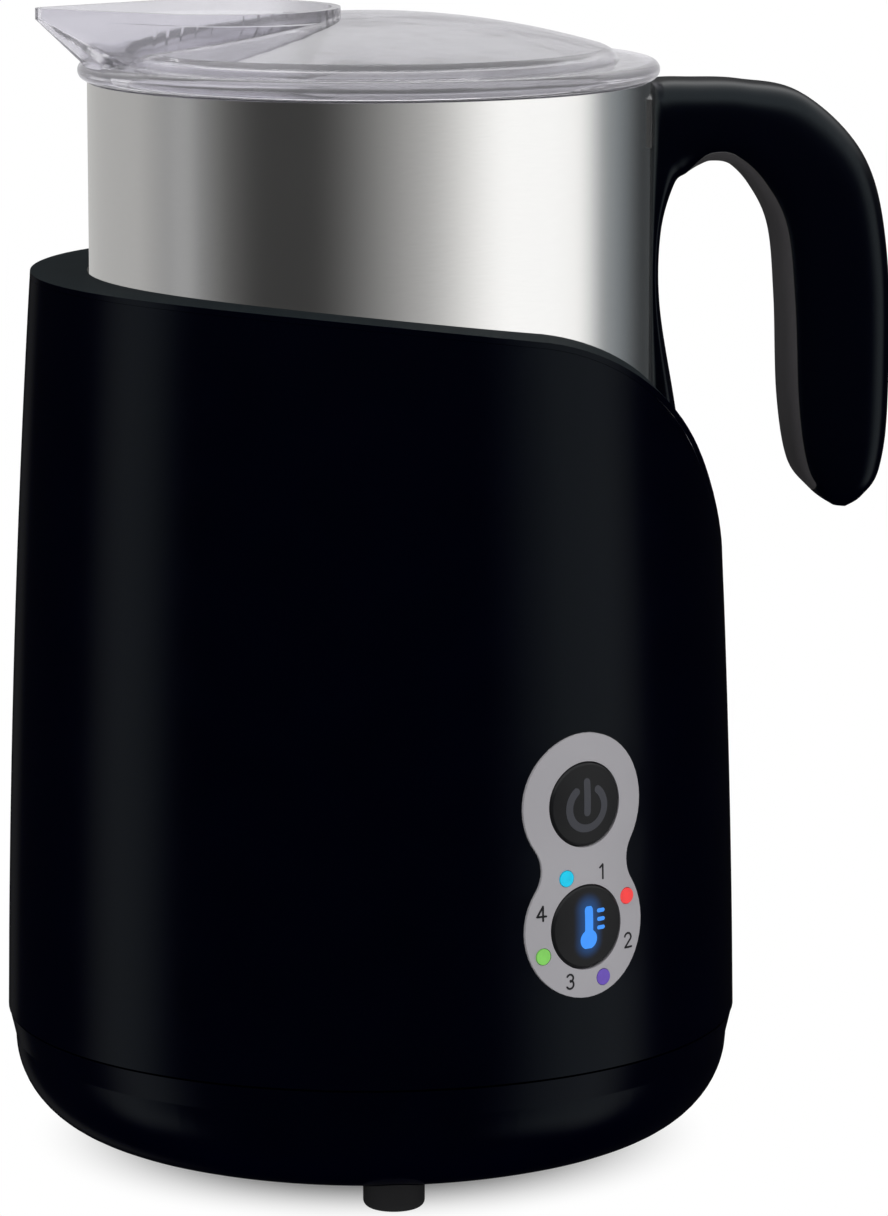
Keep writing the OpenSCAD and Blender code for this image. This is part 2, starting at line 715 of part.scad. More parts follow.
module temperature_sensor() color(steel) on_axis() around([90], sensor_place_r) {
    translate([0, 0, well_under - 2]) cylinder(r = sensor_r, h = well_floor_t + 2.15);
    translate([0, 0, well_under - 2]) cylinder(r = sensor_r + 0.7, h = 1.8);
}

module motor() color(dark_metal) on_axis() difference() {
    union() {
        translate([0, 0, motor_top - motor_h]) cylinder(r = motor_r, h = motor_h - 0.1);
        translate([0, 0, motor_top - 0.2]) cylinder(r = 4.5, h = bracket_t + 1);
        translate([0, 0, motor_top - motor_h - 2]) cylinder(r = 5, h = 2.1);
    }
    translate([0, 0, motor_top - motor_h + 3]) cylinder(r = shaft_r + run_gap, h = motor_h + 10);
    around([0, 180], 8) translate([0, 0, motor_top - 5]) cylinder(r = 1.2, h = 10);
}

// Spider that hangs the motor under the coil
module motor_bracket() color(steel) on_axis() difference() {
    union() {
        translate([0, 0, bracket_z]) cylinder(r = 18, h = bracket_t);
        for (a = [30, 150, 270]) rotate([0, 0, a]) {
            translate([0, -4, bracket_z]) cube([36, 8, bracket_t]);
            translate([36, 0, bracket_z]) cylinder(r = 4, h = former_top - former_t - bracket_z - 0.05);
        }
    }
    translate([0, 0, bracket_z - 1]) cylinder(r = 4.7, h = 10);
    around([0, 180], 8) translate([0, 0, bracket_z - 1]) cylinder(r = 1.5, h = 10);
    around([30, 150, 270], 36) translate([0, 0, bracket_z + 3]) cylinder(r = 1, h = 20);
}

module motor_screws() color(dark_metal) on_axis() around([0, 180], 8)
    translate([0, 0, bracket_z + bracket_t + 0.05]) rotate([180, 0, 0]) pan_screw(1.1, 5, 2.2, 1);

module drive_shaft() color(steel) on_axis() translate([0, 0, motor_top - motor_h + 4])
    cylinder(r = shaft_r, h = carrier_z + carrier_h - 1 - (motor_top - motor_h + 4));

module magnet_carrier() color(ivory) on_axis() difference() {
    union() {
        translate([0, 0, carrier_z]) cylinder(r = carrier_r, h = carrier_h);
        translate([0, 0, carrier_z - 3]) cylinder(r = 4, h = 3.1);
    }
    translate([0, 0, carrier_z - 4]) cylinder(r = shaft_r + 0.02, h = carrier_h + 3);
    around([0, 90, 180, 270], magnet_place_r) translate([0, 0, carrier_z + carrier_h - magnet_h])
        cylinder(r = magnet_r + 0.05, h = magnet_h + 1);
}

module drive_magnets() color(steel) on_axis() around([0, 90, 180, 270], magnet_place_r)
    translate([0, 0, carrier_z + carrier_h - magnet_h + 0.05]) cylinder(r = magnet_r, h = magnet_h - 0.1);

// ---- jug ----

module jug_shell() color(steel) on_axis() rotate_extrude() difference() {
    cup_area(jug_r, jug_z, jug_top, jug_corner);
    translate([0, jug_wall]) intersection() {
        cup_area(jug_r - jug_wall, jug_z, jug_top, jug_corner - jug_wall);
        square([jug_r, jug_top + 1]);
    }
    translate([0, jug_top - 2]) square([jug_r - jug_wall, 4]);
}

module whisk_spindle() color(steel) on_axis() translate([0, 0, spindle_base + 0.02]) rotate_extrude() {
    square([6, 0.98]);
    square([spindle_r, spindle_top - spindle_base - spindle_r]);
    intersection() {
        translate([0, spindle_top - spindle_base - spindle_r]) circle(r = spindle_r);
        square([spindle_r, spindle_top]);
    }
}

// Catmull-Rom curve through the handle's sections
function blend4(p, i, t) = let (
    n = len(p) - 1,
    a = p[max(i - 1, 0)],
    b = p[i],
    c = p[min(i + 1, n)],
    d = p[min(i + 2, n)]
) 0.5 * (2 * b + (c - a) * t + (2 * a - 5 * b + 4 * c - d) * t * t + (3 * b - a - 3 * c + d) * t * t * t);
function section_at(u) = let (i = min(floor(u), len(handle_sections) - 2)) blend4(handle_sections, i, u - i);

function signed_power(x, e) = sign(x) * pow(abs(x), e);

// One ring of points: a rounded rectangle between the outer and the inner line, open at the
// parting line between grip and cover. Near the jug it is bent to the jug's wall.
function ring(u, cover) = let (
    s = section_at(u),
    a = [s[0], s[1]],
    b = [s[2], s[3]],
    depth = norm(b - a),
    lead = min(max(min(u - cover_from, cover_to - u) * ring_steps + 1, 0), 1),
    part = 1 - 2 * (cover_t - (cover ? cover_gap : 0)) / depth,
    cut = acos(pow(max(part, 0), 1 / section_power)),
    first = cover ? -cut : max(cut * lead, 180 / ring_sides),
    span = cover ? 2 * cut : 360 - 2 * first
) [for (k = [0 : ring_sides - 1]) let (
    angle = first + span * k / (ring_sides - 1),
    p = (a + b) / 2 + (b - a) / 2 * signed_power(cos(angle), section_power),
    x = max(p[0], 0),
    y = s[4] / 2 * signed_power(sin(angle), section_power),
    wall = sqrt(pow(jug_r + jug_hug, 2) - pow(y, 2)) - jug_r
) [jug_r + x + wall * max(1 - x / hug_depth, 0), y, handle_top + p[1]]];

module loft(rings) {
    n = len(rings[0]);
    m = len(rings);
    polyhedron(
        points = [for (r = rings) each r],
        faces = concat(
            [[for (k = [0 : n - 1]) k]],
            [for (i = [0 : m - 2], k = [0 : n - 1])
                [i * n + k, (i + 1) * n + k, i * n + (k + 1) % n]],
            [for (i = [0 : m - 2], k = [0 : n - 1])
                [(i + 1) * n + k, (i + 1) * n + (k + 1) % n, i * n + (k + 1) % n]],
            [[for (k = [n - 1 : -1 : 0]) (m - 1) * n + k]]
        )
    );
}

module handle() color(gloss_black) on_axis() difference() {
    loft([for (i = [0 : ring_steps * (len(handle_sections) - 1)]) ring(i / ring_steps, false)]);
    translate([0, -6.2, handle_top - 12]) cube([jug_r + 3, 12.4, 9]);
    translate([0, -5.2, handle_low + 4]) cube([jug_r + 2.4, 10.4, 10.4]);
    translate([jug_r - 1, 0, handle_low + 9]) rotate([0, 90, 0]) cylinder(r = 1.8, h = 20);
    translate([jug_r + 4.4, 0, handle_low + 9]) rotate([0, 90, 0]) cylinder(r = 3.1, h = 20);
}

module grip_cover() color(matt_black) on_axis()
    loft([for (i = [cover_from * ring_steps : cover_to * ring_steps]) ring(i / ring_steps, true)]);

// Steel plates welded to the jug, which carry the handle
module weld_plate(y, z, h, t) intersection() {
    translate([0, 0, z]) difference() {
        cylinder(r = jug_r + t, h = h);
        translate([0, 0, -1]) cylinder(r = jug_r + 0.06, h = h + 2);
    }
    translate([0, -y, z - 1]) cube([jug_r + t + 1, 2 * y, h + 2]);
}

module upper_bracket() color(steel) on_axis() weld_plate(6, handle_top - 11.8, 8.6, 2.6);

module lower_bracket() color(steel) on_axis() difference() {
    weld_plate(5, handle_low + 4.2, 10, 2.1);
    translate([jug_r - 2, 0, handle_low + 9]) rotate([0, 90, 0]) cylinder(r = 1.6, h = 20);
}

module handle_screw() color(steel) on_axis() translate([jug_r + 4.45, 0, handle_low + 9]) rotate([0, -90, 0])
    pan_screw(1.5, 4.2, 2.9, 1.8);

// ---- whisk ----

module whisk_hub() color(matt_black) on_axis() difference() {
    union() {
        rotate_extrude() difference() {
            translate([0, hub_z]) square([hub_r, hub_h]);
            translate([froth_ring_r, froth_z]) circle(r = froth_turn_r + froth_wire / 2 + 0.15);
        }
        translate([0, 0, hub_z]) cylinder(r = 3.4, h = 15);
        for (a = [45, 135]) rotate([0, 0, a]) translate([-9, -0.8, hub_z + hub_h - 0.1]) cube([18, 1.6, 3]);
    }
    translate([0, 0, hub_z - 1]) cylinder(r = spindle_r + run_gap, h = 17);
    around([0, 90, 180, 270], 9) translate([0, 0, hub_z - 1]) cylinder(r = magnet_r + 0.05, h = magnet_h + 1);
}

module whisk_magnets() color(steel) on_axis() around([0, 90, 180, 270], 9)
    translate([0, 0, hub_z + 0.05]) cylinder(r = magnet_r, h = magnet_h - 0.1);

// Wire coiled into a closed ring: places along it, and the ring of points round each
function froth_at(i) = let (
    a = 360 * i / (froth_turns * froth_steps),
    b = 360 * i / froth_steps,
    r = froth_ring_r + froth_turn_r * cos(b)
) [r * cos(a), r * sin(a), froth_turn_r * sin(b)];

function froth_wire_ring(i) = let (
    a = 360 * i / (froth_turns * froth_steps),
    along = (froth_at(i + 1) - froth_at(i - 1)) / norm(froth_at(i + 1) - froth_at(i - 1)),
    out = froth_at(i) - froth_ring_r * [cos(a), sin(a), 0],
    flat = out - along * (out * along),
    n1 = flat / norm(flat),
    n2 = cross(along, n1)
) [for (k = [0 : froth_sides - 1])
    froth_at(i) + froth_wire / 2 * (n1 * cos(360 * k / froth_sides) + n2 * sin(360 * k / froth_sides))];

module frothing_coil() color(steel) on_axis() translate([0, 0, froth_z]) {
    n = froth_turns * froth_steps;
    m = froth_sides;
    polyhedron(
        points = [for (i = [0 : n - 1]) each froth_wire_ring(i)],
        faces = [for (i = [0 : n - 1], k = [0 : m - 1], half = [0, 1]) let (
            a = i * m + k,
            b = i * m + (k + 1) % m,
            c = ((i + 1) % n) * m + (k + 1) % m,
            d = ((i + 1) % n) * m + k
        ) half == 0 ? [a, d, b] : [d, c, b]]
    );
}

// ---- lid ----

// Boat-shaped outline of the spout: a wide round end drawn out to a tip
module spout_boat(shrink, low, high) hull() {
    lip_z = spout_top - lip_h;
    translate([-spout_back, 0, lip_z]) cylinder(r = spout_r - shrink, h = high - lip_z, $fn = 48);
    translate([tip_r - spout_reach, 0, lip_z]) cylinder(r = tip_r - shrink * 0.7, h = high - lip_z, $fn = 24);
    translate([-spout_back - 3, 0, low]) cylinder(r = spout_floor_r - shrink, h = 1, $fn = 48);
    translate([-lid_r + 5.6, 0, low]) cylinder(r = 2.2 - shrink * 0.7, h = 1, $fn = 24);
}

// Half of the dome's section, taken in by an even distance
module dome_area(inset) {
    edge_x = dome_r - dome_edge;
    edge_z = dome_c + sqrt(pow(dome_ball - dome_edge - dome_kink, 2) - pow(edge_x, 2));
    join_x = edge_x * (1 + (dome_edge - inset) / dome_ball);
    intersection() {
        translate([0, flange_z + 0.6]) square([dome_r, 2 * dome_rise]);
        union() {
            intersection() {
                translate([0, dome_c]) circle(r = dome_ball - inset, $fn = fine);
                translate([0, flange_z]) square([join_x, 2 * dome_rise]);
            }
            translate([edge_x, edge_z]) circle(r = dome_edge - inset);
            translate([0, flange_z]) square([dome_r - inset, max(edge_z - flange_z, eps)]);
        }
    }
}

module lid() color(clear_plastic) on_axis() difference() {
    union() {
        rotate_extrude() difference() {
            union() {
                translate([0, flange_z]) square([lid_r - flange_edge, flange_t]);
                translate([lid_r - flange_edge, flange_z + flange_edge]) circle(r = flange_edge);
                dome_area(0);
                translate([0, flange_z - plug_depth]) square([plug_r, plug_depth + eps]);
            }
            dome_area(lid_wall);
            translate([0, flange_z - plug_depth - 1]) square([plug_r - 1.8, plug_depth + 1.7]);
            translate([plug_r - 0.6, flange_z - 4.2]) square([2, 2.4]);
        }
        spout_boat(0, flange_z + 0.4, spout_top);
    }
    spout_boat(lid_wall, flange_z + 2, spout_top + 0.5);
    for (i = [0 : slot_count - 1]) let (x = (i - (slot_count - 1) / 2) * 4 - 2 - spout_back)
        translate([x, 0, flange_z - 1]) linear_extrude(10) rotate(90) slot_area(12, 2);
}

module lid_seal() color(silicone) on_axis() rotate_extrude() {
    translate([plug_r - 0.5, flange_z - 4.1]) square([0.9, 2.2]);
    translate([plug_r + 0.3, flange_z - 3.4]) square([seal_t - 0.3, 0.8]);
}

outer_shell();
jug_well();
bottom_tray();
foot_at(-90);  // foot_front
foot_at(30);  // foot_right
foot_at(150);  // foot_left
tray_screws();
cord_bush();
control_plate();
lamp(0);  // lamp_red
lamp(1);  // lamp_cyan
lamp(2);  // lamp_green
lamp(3);  // lamp_violet
control_board();
board_screws();
touch_switch(power_z);  // power_switch
touch_switch(mode_z);  // mode_switch
indicator_leds();
button(power_z);  // power_button
plunger(power_z);  // power_plunger
button(mode_z);  // mode_button
plunger(mode_z);  // mode_plunger
main_board();
board_posts();
transformer();
filter_capacitors();
relay();
heat_sink();
power_transistor();
terminal_block();
coil_former();
former_screws();
induction_coil();
ferrite_bars();
temperature_sensor();
motor();
motor_bracket();
motor_screws();
drive_shaft();
magnet_carrier();
drive_magnets();
jug_shell();
whisk_spindle();
upper_bracket();
lower_bracket();
handle();
grip_cover();
handle_screw();
whisk_hub();
whisk_magnets();
frothing_coil();
lid();
lid_seal();
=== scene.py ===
"""Looks of a milk frother: finishes, printed marks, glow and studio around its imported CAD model."""

import json
import math

import bmesh
import bpy
from bpy.props import FloatProperty, FloatVectorProperty, PointerProperty
from mathutils import Matrix, Vector
from mathutils.bvhtree import BVHTree


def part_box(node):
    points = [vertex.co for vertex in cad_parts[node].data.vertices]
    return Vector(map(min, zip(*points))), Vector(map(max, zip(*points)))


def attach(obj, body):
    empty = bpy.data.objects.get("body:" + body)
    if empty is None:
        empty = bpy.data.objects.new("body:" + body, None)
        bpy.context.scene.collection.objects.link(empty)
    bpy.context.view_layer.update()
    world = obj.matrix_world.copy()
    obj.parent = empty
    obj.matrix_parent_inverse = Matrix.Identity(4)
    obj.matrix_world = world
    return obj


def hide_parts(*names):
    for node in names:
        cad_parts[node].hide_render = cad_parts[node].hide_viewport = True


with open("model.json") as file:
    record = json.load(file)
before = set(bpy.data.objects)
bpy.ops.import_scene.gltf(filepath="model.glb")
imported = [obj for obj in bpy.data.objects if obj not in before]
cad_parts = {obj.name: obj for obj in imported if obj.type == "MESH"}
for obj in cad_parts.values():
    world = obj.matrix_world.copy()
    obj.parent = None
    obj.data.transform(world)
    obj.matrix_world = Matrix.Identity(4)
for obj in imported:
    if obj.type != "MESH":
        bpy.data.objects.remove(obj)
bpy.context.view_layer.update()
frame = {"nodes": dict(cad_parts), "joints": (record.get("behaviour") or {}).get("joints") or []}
nodes = frame["nodes"]

bl_info = {
    "name": "Milk Frother Looks",
    "version": (1, 0, 0),
    "blender": (4, 5, 0),
    "location": "View3D > Sidebar > Frother",
    "description": "Finishes, printed marks and studio for an induction milk frother",
    "category": "Object",
}

MM = 0.001
UP = Vector((0, 0, 1))

press = next(j for j in frame["joints"] if j["name"] == "power_press")
OUTWARD = -Vector(press["axis"]).normalized()
RIGHTWARD = UP.cross(OUTWARD)


def middle(node):
    """Middle of a CAD node's box."""
    low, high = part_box(node)
    return (low + high) / 2


AXIS = middle("jug_shell").to_2d().to_3d()
jug_radius = (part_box("jug_shell")[1].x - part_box("jug_shell")[0].x) / 2
handle_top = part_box("handle")[1].z
AIM = AXIS + UP * 0.1
POWER = AXIS + UP * middle("power_button").z
MODE = AXIS + UP * middle("mode_button").z

# The soft pad's ends, the lengths over which it grows and fades, and how far its mesh stops short of
# its ends, all counted in sections of the handle
PAD_START, PAD_END = 4.2, 14.1
PAD_GROWTH, PAD_FADE = 3.5, 0.7
PAD_START_TRIM, PAD_END_TRIM = 0.5, 0.15

# Edges sharper than this stay sharp
CREASE = math.radians(28)
HANDLE_CREASE = math.radians(35)
LID_CREASE = math.radians(38)
WIRE_CREASE = math.radians(75)

# A mark's surface is divided into lanes, later ribbons lie a step above earlier ones, and its skirt
# reaches below the surface that it is printed on
LANE_WIDTH = 0.45 * MM
RIBBON_STEP = 0.003 * MM
SKIRT_DEPTH = 0.05 * MM


# ---- sizes and colours ----


class FrotherFinish(bpy.types.PropertyGroup):
    """Colours and gloss of the visible pieces"""

    body_colour: FloatVectorProperty(
        name="Body", description="Gloss black mouldings", subtype="COLOR", min=0, max=1,
        default=(0.0001, 0.0002, 0.0022))
    body_gloss: FloatProperty(
        name="Body gloss", description="Strength of the body's reflections", min=0, max=1,
        default=0.17, subtype="FACTOR")
    rim_colour: FloatVectorProperty(
        name="Rim", description="Matt rim of the well", subtype="COLOR", min=0, max=1,
        default=(0.0070, 0.0105, 0.0125))
    grip_colour: FloatVectorProperty(
        name="Grip", description="Soft cover on the grip", subtype="COLOR", min=0, max=1,
        default=(0.056, 0.053, 0.057))
    steel_colour: FloatVectorProperty(
        name="Steel", description="Stainless steel of the jug", subtype="COLOR", min=0, max=1,
        default=(0.62, 0.62, 0.62))
    lid_colour: FloatVectorProperty(
        name="Lid", description="Clear plastic of the lid", subtype="COLOR", min=0, max=1,
        default=(0.80, 0.79, 0.835))
    plate_colour: FloatVectorProperty(
        name="Plate", description="Satin paint of the control plate", subtype="COLOR", min=0, max=1,
        default=(0.42, 0.41, 0.435))
    glow_colour: FloatVectorProperty(
        name="Glow", description="Light of the lit mark", subtype="COLOR", min=0, max=1,
        default=(0.03, 0.25, 0.85))


class FrotherPrint(bpy.types.PropertyGroup):
    """Sizes of the marks printed on the panel and the buttons"""

    lift: FloatProperty(
        name="Print thickness", description="How far a mark stands off its surface", min=0,
        default=0.04 * MM, unit="LENGTH", precision=5)
    ring_radius: FloatProperty(
        name="Power ring", description="Middle radius of the power mark's ring", min=0,
        default=3.7 * MM, unit="LENGTH", precision=4)
    mark_stroke: FloatProperty(
        name="Mark stroke", description="Line width of the marks on the buttons", min=0,
        default=1.4 * MM, unit="LENGTH", precision=4)
    number_height: FloatProperty(
        name="Number height", description="Height of the dial's numbers", min=0,
        default=2.5 * MM, unit="LENGTH", precision=4)
    number_stroke: FloatProperty(
        name="Number stroke", description="Line width of the dial's numbers", min=0,
        default=0.34 * MM, unit="LENGTH", precision=5)
    number_ring: FloatProperty(
        name="Number ring", description="Radius of the circle that the numbers stand on", min=0,
        default=9.9 * MM, unit="LENGTH", precision=4)


class FrotherHandle(bpy.types.PropertyGroup):
    """Sizes of the handle's moulding and of the soft pad on its grip"""

    drop: FloatProperty(
        name="Drop", description="From the handle's top to its lower end", default=77.5 * MM, unit="LENGTH")
    reach: FloatProperty(
        name="Reach", description="From the jug's wall to the back of the grip", default=43.3 * MM,
        unit="LENGTH")
    width: FloatProperty(
        name="Width", description="Width across the grip", default=21 * MM, unit="LENGTH")
    pad: FloatProperty(
        name="Pad", description="Thickness of the soft pad", default=2.2 * MM, unit="LENGTH", precision=4)
    groove: FloatProperty(
        name="Groove", description="Parting line between pad and moulding", default=0.12 * MM,
        unit="LENGTH", precision=5)


class FrotherStage(bpy.types.PropertyGroup):
    """Camera, floor and lamps"""

    camera_distance: FloatProperty(
        name="Camera distance", description="From the jug's axis, along the floor", min=0.3,
        default=0.985, unit="LENGTH")
    camera_height: FloatProperty(
        name="Camera height", description="Above the floor", default=0.2740, unit="LENGTH")
    camera_turn: FloatProperty(
        name="Camera turn", description="Angle of the camera from the front", subtype="ANGLE",
        default=math.radians(4.5))
    camera_yaw: FloatProperty(
        name="Camera yaw", description="Aim to the right of the jug's axis", subtype="ANGLE",
        default=math.radians(0.776))
    camera_pitch: FloatProperty(
        name="Camera pitch", description="Aim below the horizon", subtype="ANGLE",
        default=math.radians(10.18))
    lens: FloatProperty(
        name="Lens", description="Focal length in millimetres on a 36 mm tall frame", min=10,
        default=163.95)
    floor_radius: FloatProperty(
        name="Floor radius", description="Radius of the round floor", min=0.2, default=0.6,
        unit="LENGTH")
    screen_radius: FloatProperty(
        name="Screen radius", description="Radius of the screen that the steel mirrors", min=1,
        default=1.6, unit="LENGTH")
    ambient: FloatProperty(
        name="Ambient", description="Even light from all round", min=0, default=0.5)
    top_power: FloatProperty(
        name="Top lamp", description="Power of the soft lamp overhead", min=0, default=8.0,
        unit="POWER")
    side_power: FloatProperty(
        name="Side lamps", description="Power of each soft lamp at the sides", min=0, default=2.5,
        unit="POWER")


# ---- shader maths ----


class Value:
    """A number in a node tree; arithmetic on it adds Math nodes."""

    def __init__(self, shader, socket):
        self.shader, self.socket = shader, socket

    def __add__(self, other):
        return self.shader.math("ADD", self, other)

    def __radd__(self, other):
        return self.shader.math("ADD", other, self)

    def __sub__(self, other):
        return self.shader.math("SUBTRACT", self, other)

    def __rsub__(self, other):
        return self.shader.math("SUBTRACT", other, self)

    def __mul__(self, other):
        return self.shader.math("MULTIPLY", self, other)

    def __rmul__(self, other):
        return self.shader.math("MULTIPLY", other, self)

    def __pow__(self, other):
        return self.shader.math("POWER", self, other)

    def __abs__(self):
        return self.shader.math("ABSOLUTE", self)


class Shader:
    """A node tree of a material or a world, with short ways to add to it."""

    def __init__(self, owner):
        owner.use_nodes = True
        self.owner = owner
        self.tree = owner.node_tree
        self.tree.nodes.clear()

    def node(self, kind, settings=None, inputs=None):
        """Adds a node. Settings are set first, then the values or links of its inputs."""
        made = self.tree.nodes.new(kind)
        for key, value in (settings or {}).items():
            setattr(made, key, value)
        for key, value in (inputs or {}).items():
            self.feed(made.inputs[key], value)
        return made

    def feed(self, socket, value):
        """Links a value or a socket to a socket, or sets it to a plain number or colour."""
        value = getattr(value, "socket", value)
        if isinstance(value, bpy.types.NodeSocket):
            self.tree.links.new(value, socket)
        elif socket.type == "RGBA" and len(value) == 3:
            socket.default_value = (*value, 1)
        else:
            socket.default_value = value

    def math(self, operation, *values):
        made = self.node("ShaderNodeMath", {"operation": operation}, dict(enumerate(values)))
        return Value(self, made.outputs[0])

    def smooth(self, value, start, end):
        """0 before start, 1 after end, and a soft step between them."""
        made = self.node(
            "ShaderNodeMapRange", {"interpolation_type": "SMOOTHSTEP"},
            {"Value": value, "From Min": start, "From Max": end})
        return Value(self, made.outputs["Result"])

    def place(self, stretch=(1, 1, 1)):
        """Place on the piece in metres, stretched along each axis."""
        where = self.node("ShaderNodeTexCoord").outputs["Object"]
        if stretch == (1, 1, 1):
            return where
        return self.node(
            "ShaderNodeVectorMath", {"operation": "MULTIPLY"}, {0: where, 1: stretch}).outputs[0]

    def split(self, vector):
        """The three numbers of a vector."""
        made = self.node("ShaderNodeSeparateXYZ", None, {0: vector})
        return [Value(self, s) for s in made.outputs]

    def noise(self, size, detail=2, stretch=(1, 1, 1), rough=0.5):
        """Cloudy noise from 0 to 1 whose lumps are size metres across."""
        made = self.node(
            "ShaderNodeTexNoise", None,
            {"Vector": self.place(stretch), "Scale": 1 / size, "Detail": detail, "Roughness": rough})
        return Value(self, made.outputs["Fac"])

    def cells(self, size, feature="F1"):
        """Distance to the nearest of scattered points, size metres apart."""
        made = self.node(
            "ShaderNodeTexVoronoi", {"feature": feature},
            {"Vector": self.place(), "Scale": 1 / size})
        return Value(self, made.outputs["Distance"])

    def mix(self, factor, first, second):
        """Colour between first, at 0, and second, at 1."""
        made = self.node("ShaderNodeMix", {"data_type": "RGBA"}, {"Factor": factor})
        self.feed(made.inputs[6], first)
        self.feed(made.inputs[7], second)
        return made.outputs[2]

    def bump(self, height, depth, strength=1.0):
        """Normal of a surface whose height, from 0 to 1, is depth metres deep."""
        return self.node(
            "ShaderNodeBump", None,
            {"Strength": strength, "Distance": depth, "Height": height}).outputs["Normal"]

    def output(self, surface):
        """Ends the tree in its output node and hands back the material or world."""
        kind = "ShaderNodeOutputMaterial"
        if isinstance(self.owner, bpy.types.World):
            kind = "ShaderNodeOutputWorld"
        self.node(kind, None, {"Surface": surface})
        return self.owner


def paint(name):
    """A new material's shader."""
    return Shader(bpy.data.materials.new(name))


def plastic(shader, colour, roughness, **sockets):
    """Ends a shader in one Principled surface; sockets are named with _ for spaces."""
    inputs = {"Base Color": colour, "Roughness": roughness}
    inputs.update({key.replace("_", " "): value for key, value in sockets.items()})
    made = shader.node("ShaderNodeBsdfPrincipled", None, inputs)
    return shader.output(made.outputs[0])


def tinted(colour, share):
    """Colour made lighter or darker by a share."""
    return tuple(min(c * share, 1) for c in colour)


# ---- finishes ----


def gloss_black(name, finish, roughness=0.16, share=1.0):
    """High gloss moulding with the faint waviness of its tool."""
    s = paint(name)
    waves = s.noise(9 * MM, 2)
    haze = s.noise(30 * MM, 3)
    colour = s.mix(haze, tinted(finish.body_colour, 0.8), tinted(finish.body_colour, 1.3))
    return plastic(
        s, colour, roughness + haze * 0.03, Normal=s.bump(waves, 0.02 * MM, 0.3),
        Specular_IOR_Level=finish.body_gloss * share, Specular_Tint=(0.8, 0.96, 1.0, 1))


def fine_grain(name, colour, roughness, grain=0.35 * MM, depth=0.03 * MM, gloss=0.3):
    """Moulding with an etched grain."""
    s = paint(name)
    pits = s.cells(grain)
    cloud = s.noise(12 * MM, 3)
    tint = s.mix(cloud, tinted(colour, 0.9), tinted(colour, 1.12))
    return plastic(
        s, tint, roughness + cloud * 0.08, Normal=s.bump(pits, depth, 0.5),
        Specular_IOR_Level=gloss)


def matt_topped(name, finish, top_colour, top_gloss):
    """Gloss black moulding whose upward faces are matt and grained."""
    matt_from, matt_to = 0.2, 0.4
    s = paint(name)
    pits = s.cells(0.35 * MM)
    cloud = s.noise(12 * MM, 3)
    waves = s.noise(9 * MM, 2)
    tint = s.mix(cloud, tinted(top_colour, 0.9), tinted(top_colour, 1.12))
    black = s.mix(cloud, tinted(finish.body_colour, 0.8), tinted(finish.body_colour, 1.3))
    matt = s.node("ShaderNodeBsdfPrincipled", None, {
        "Base Color": tint, "Roughness": 0.62 + cloud * 0.08, "Normal": s.bump(pits, 0.02 * MM, 0.4),
        "Specular IOR Level": top_gloss})
    gloss = s.node("ShaderNodeBsdfPrincipled", None, {
        "Base Color": black, "Roughness": 0.16 + cloud * 0.03, "Normal": s.bump(waves, 0.02 * MM, 0.3),
        "Specular IOR Level": finish.body_gloss, "Specular Tint": (0.8, 0.96, 1.0, 1)})
    upward = s.split(s.node("ShaderNodeNewGeometry").outputs["Normal"])[2]
    top = s.smooth(upward, matt_from, matt_to)
    made = s.node("ShaderNodeMixShader", None, {0: top, 1: gloss.outputs[0], 2: matt.outputs[0]})
    return s.output(made.outputs[0])


def soft_rubber(name, colour):
    """Dull rubber with fine pores."""
    s = paint(name)
    pores = s.noise(0.4 * MM, 4)
    dust = s.noise(6 * MM, 3)
    tint = s.mix(dust, tinted(colour, 0.85), tinted(colour, 1.3))
    return plastic(s, tint, 0.75 + dust * 0.1, Normal=s.bump(pores, 0.05 * MM, 0.4),
                   Specular_IOR_Level=0.25)


def brushed_steel(name, colour, roughness, along=(1, 1, 22), scale=2.2 * MM, depth=0.004 * MM):
    """Satin metal with fine scratches, which run round the piece unless along says otherwise."""
    s = paint(name)
    lines = s.noise(scale, 4, along, 0.7)
    cloud = s.noise(25 * MM, 2)
    tint = s.mix(lines, tinted(colour, 0.94), tinted(colour, 1.04))
    return plastic(
        s, tint, roughness + cloud * 0.05 + lines * 0.04, Metallic=1.0,
        Normal=s.bump(lines, depth, 0.5))


def plated(name, colour, roughness=0.3):
    """Zinc or nickel plating with slight clouding."""
    s = paint(name)
    cloud = s.noise(1.5 * MM, 3)
    tint = s.mix(cloud, tinted(colour, 0.85), tinted(colour, 1.08))
    return plastic(s, tint, roughness + cloud * 0.12, Metallic=1.0,
                   Normal=s.bump(s.noise(0.3 * MM, 2), 0.01 * MM, 0.4))


def moulded(name, colour, roughness=0.45, gloss=0.4):
    """Plain satin moulding, a little uneven in tone."""
    s = paint(name)
    cloud = s.noise(5 * MM, 3)
    tint = s.mix(cloud, tinted(colour, 0.92), tinted(colour, 1.06))
    return plastic(s, tint, roughness + cloud * 0.08, Normal=s.bump(s.noise(0.5 * MM, 2), 0.01 * MM, 0.3),
                   Specular_IOR_Level=gloss)


def lamp_lens(name, colour, light):
    """Tinted lamp lens, lit from behind."""
    s = paint(name)
    cloud = s.noise(1.2 * MM, 2)
    tint = s.mix(cloud, tinted(colour, 0.85), tinted(colour, 1.1))
    return plastic(s, tint, 0.22, Emission_Color=tint, Emission_Strength=light,
                   Specular_IOR_Level=0.4)


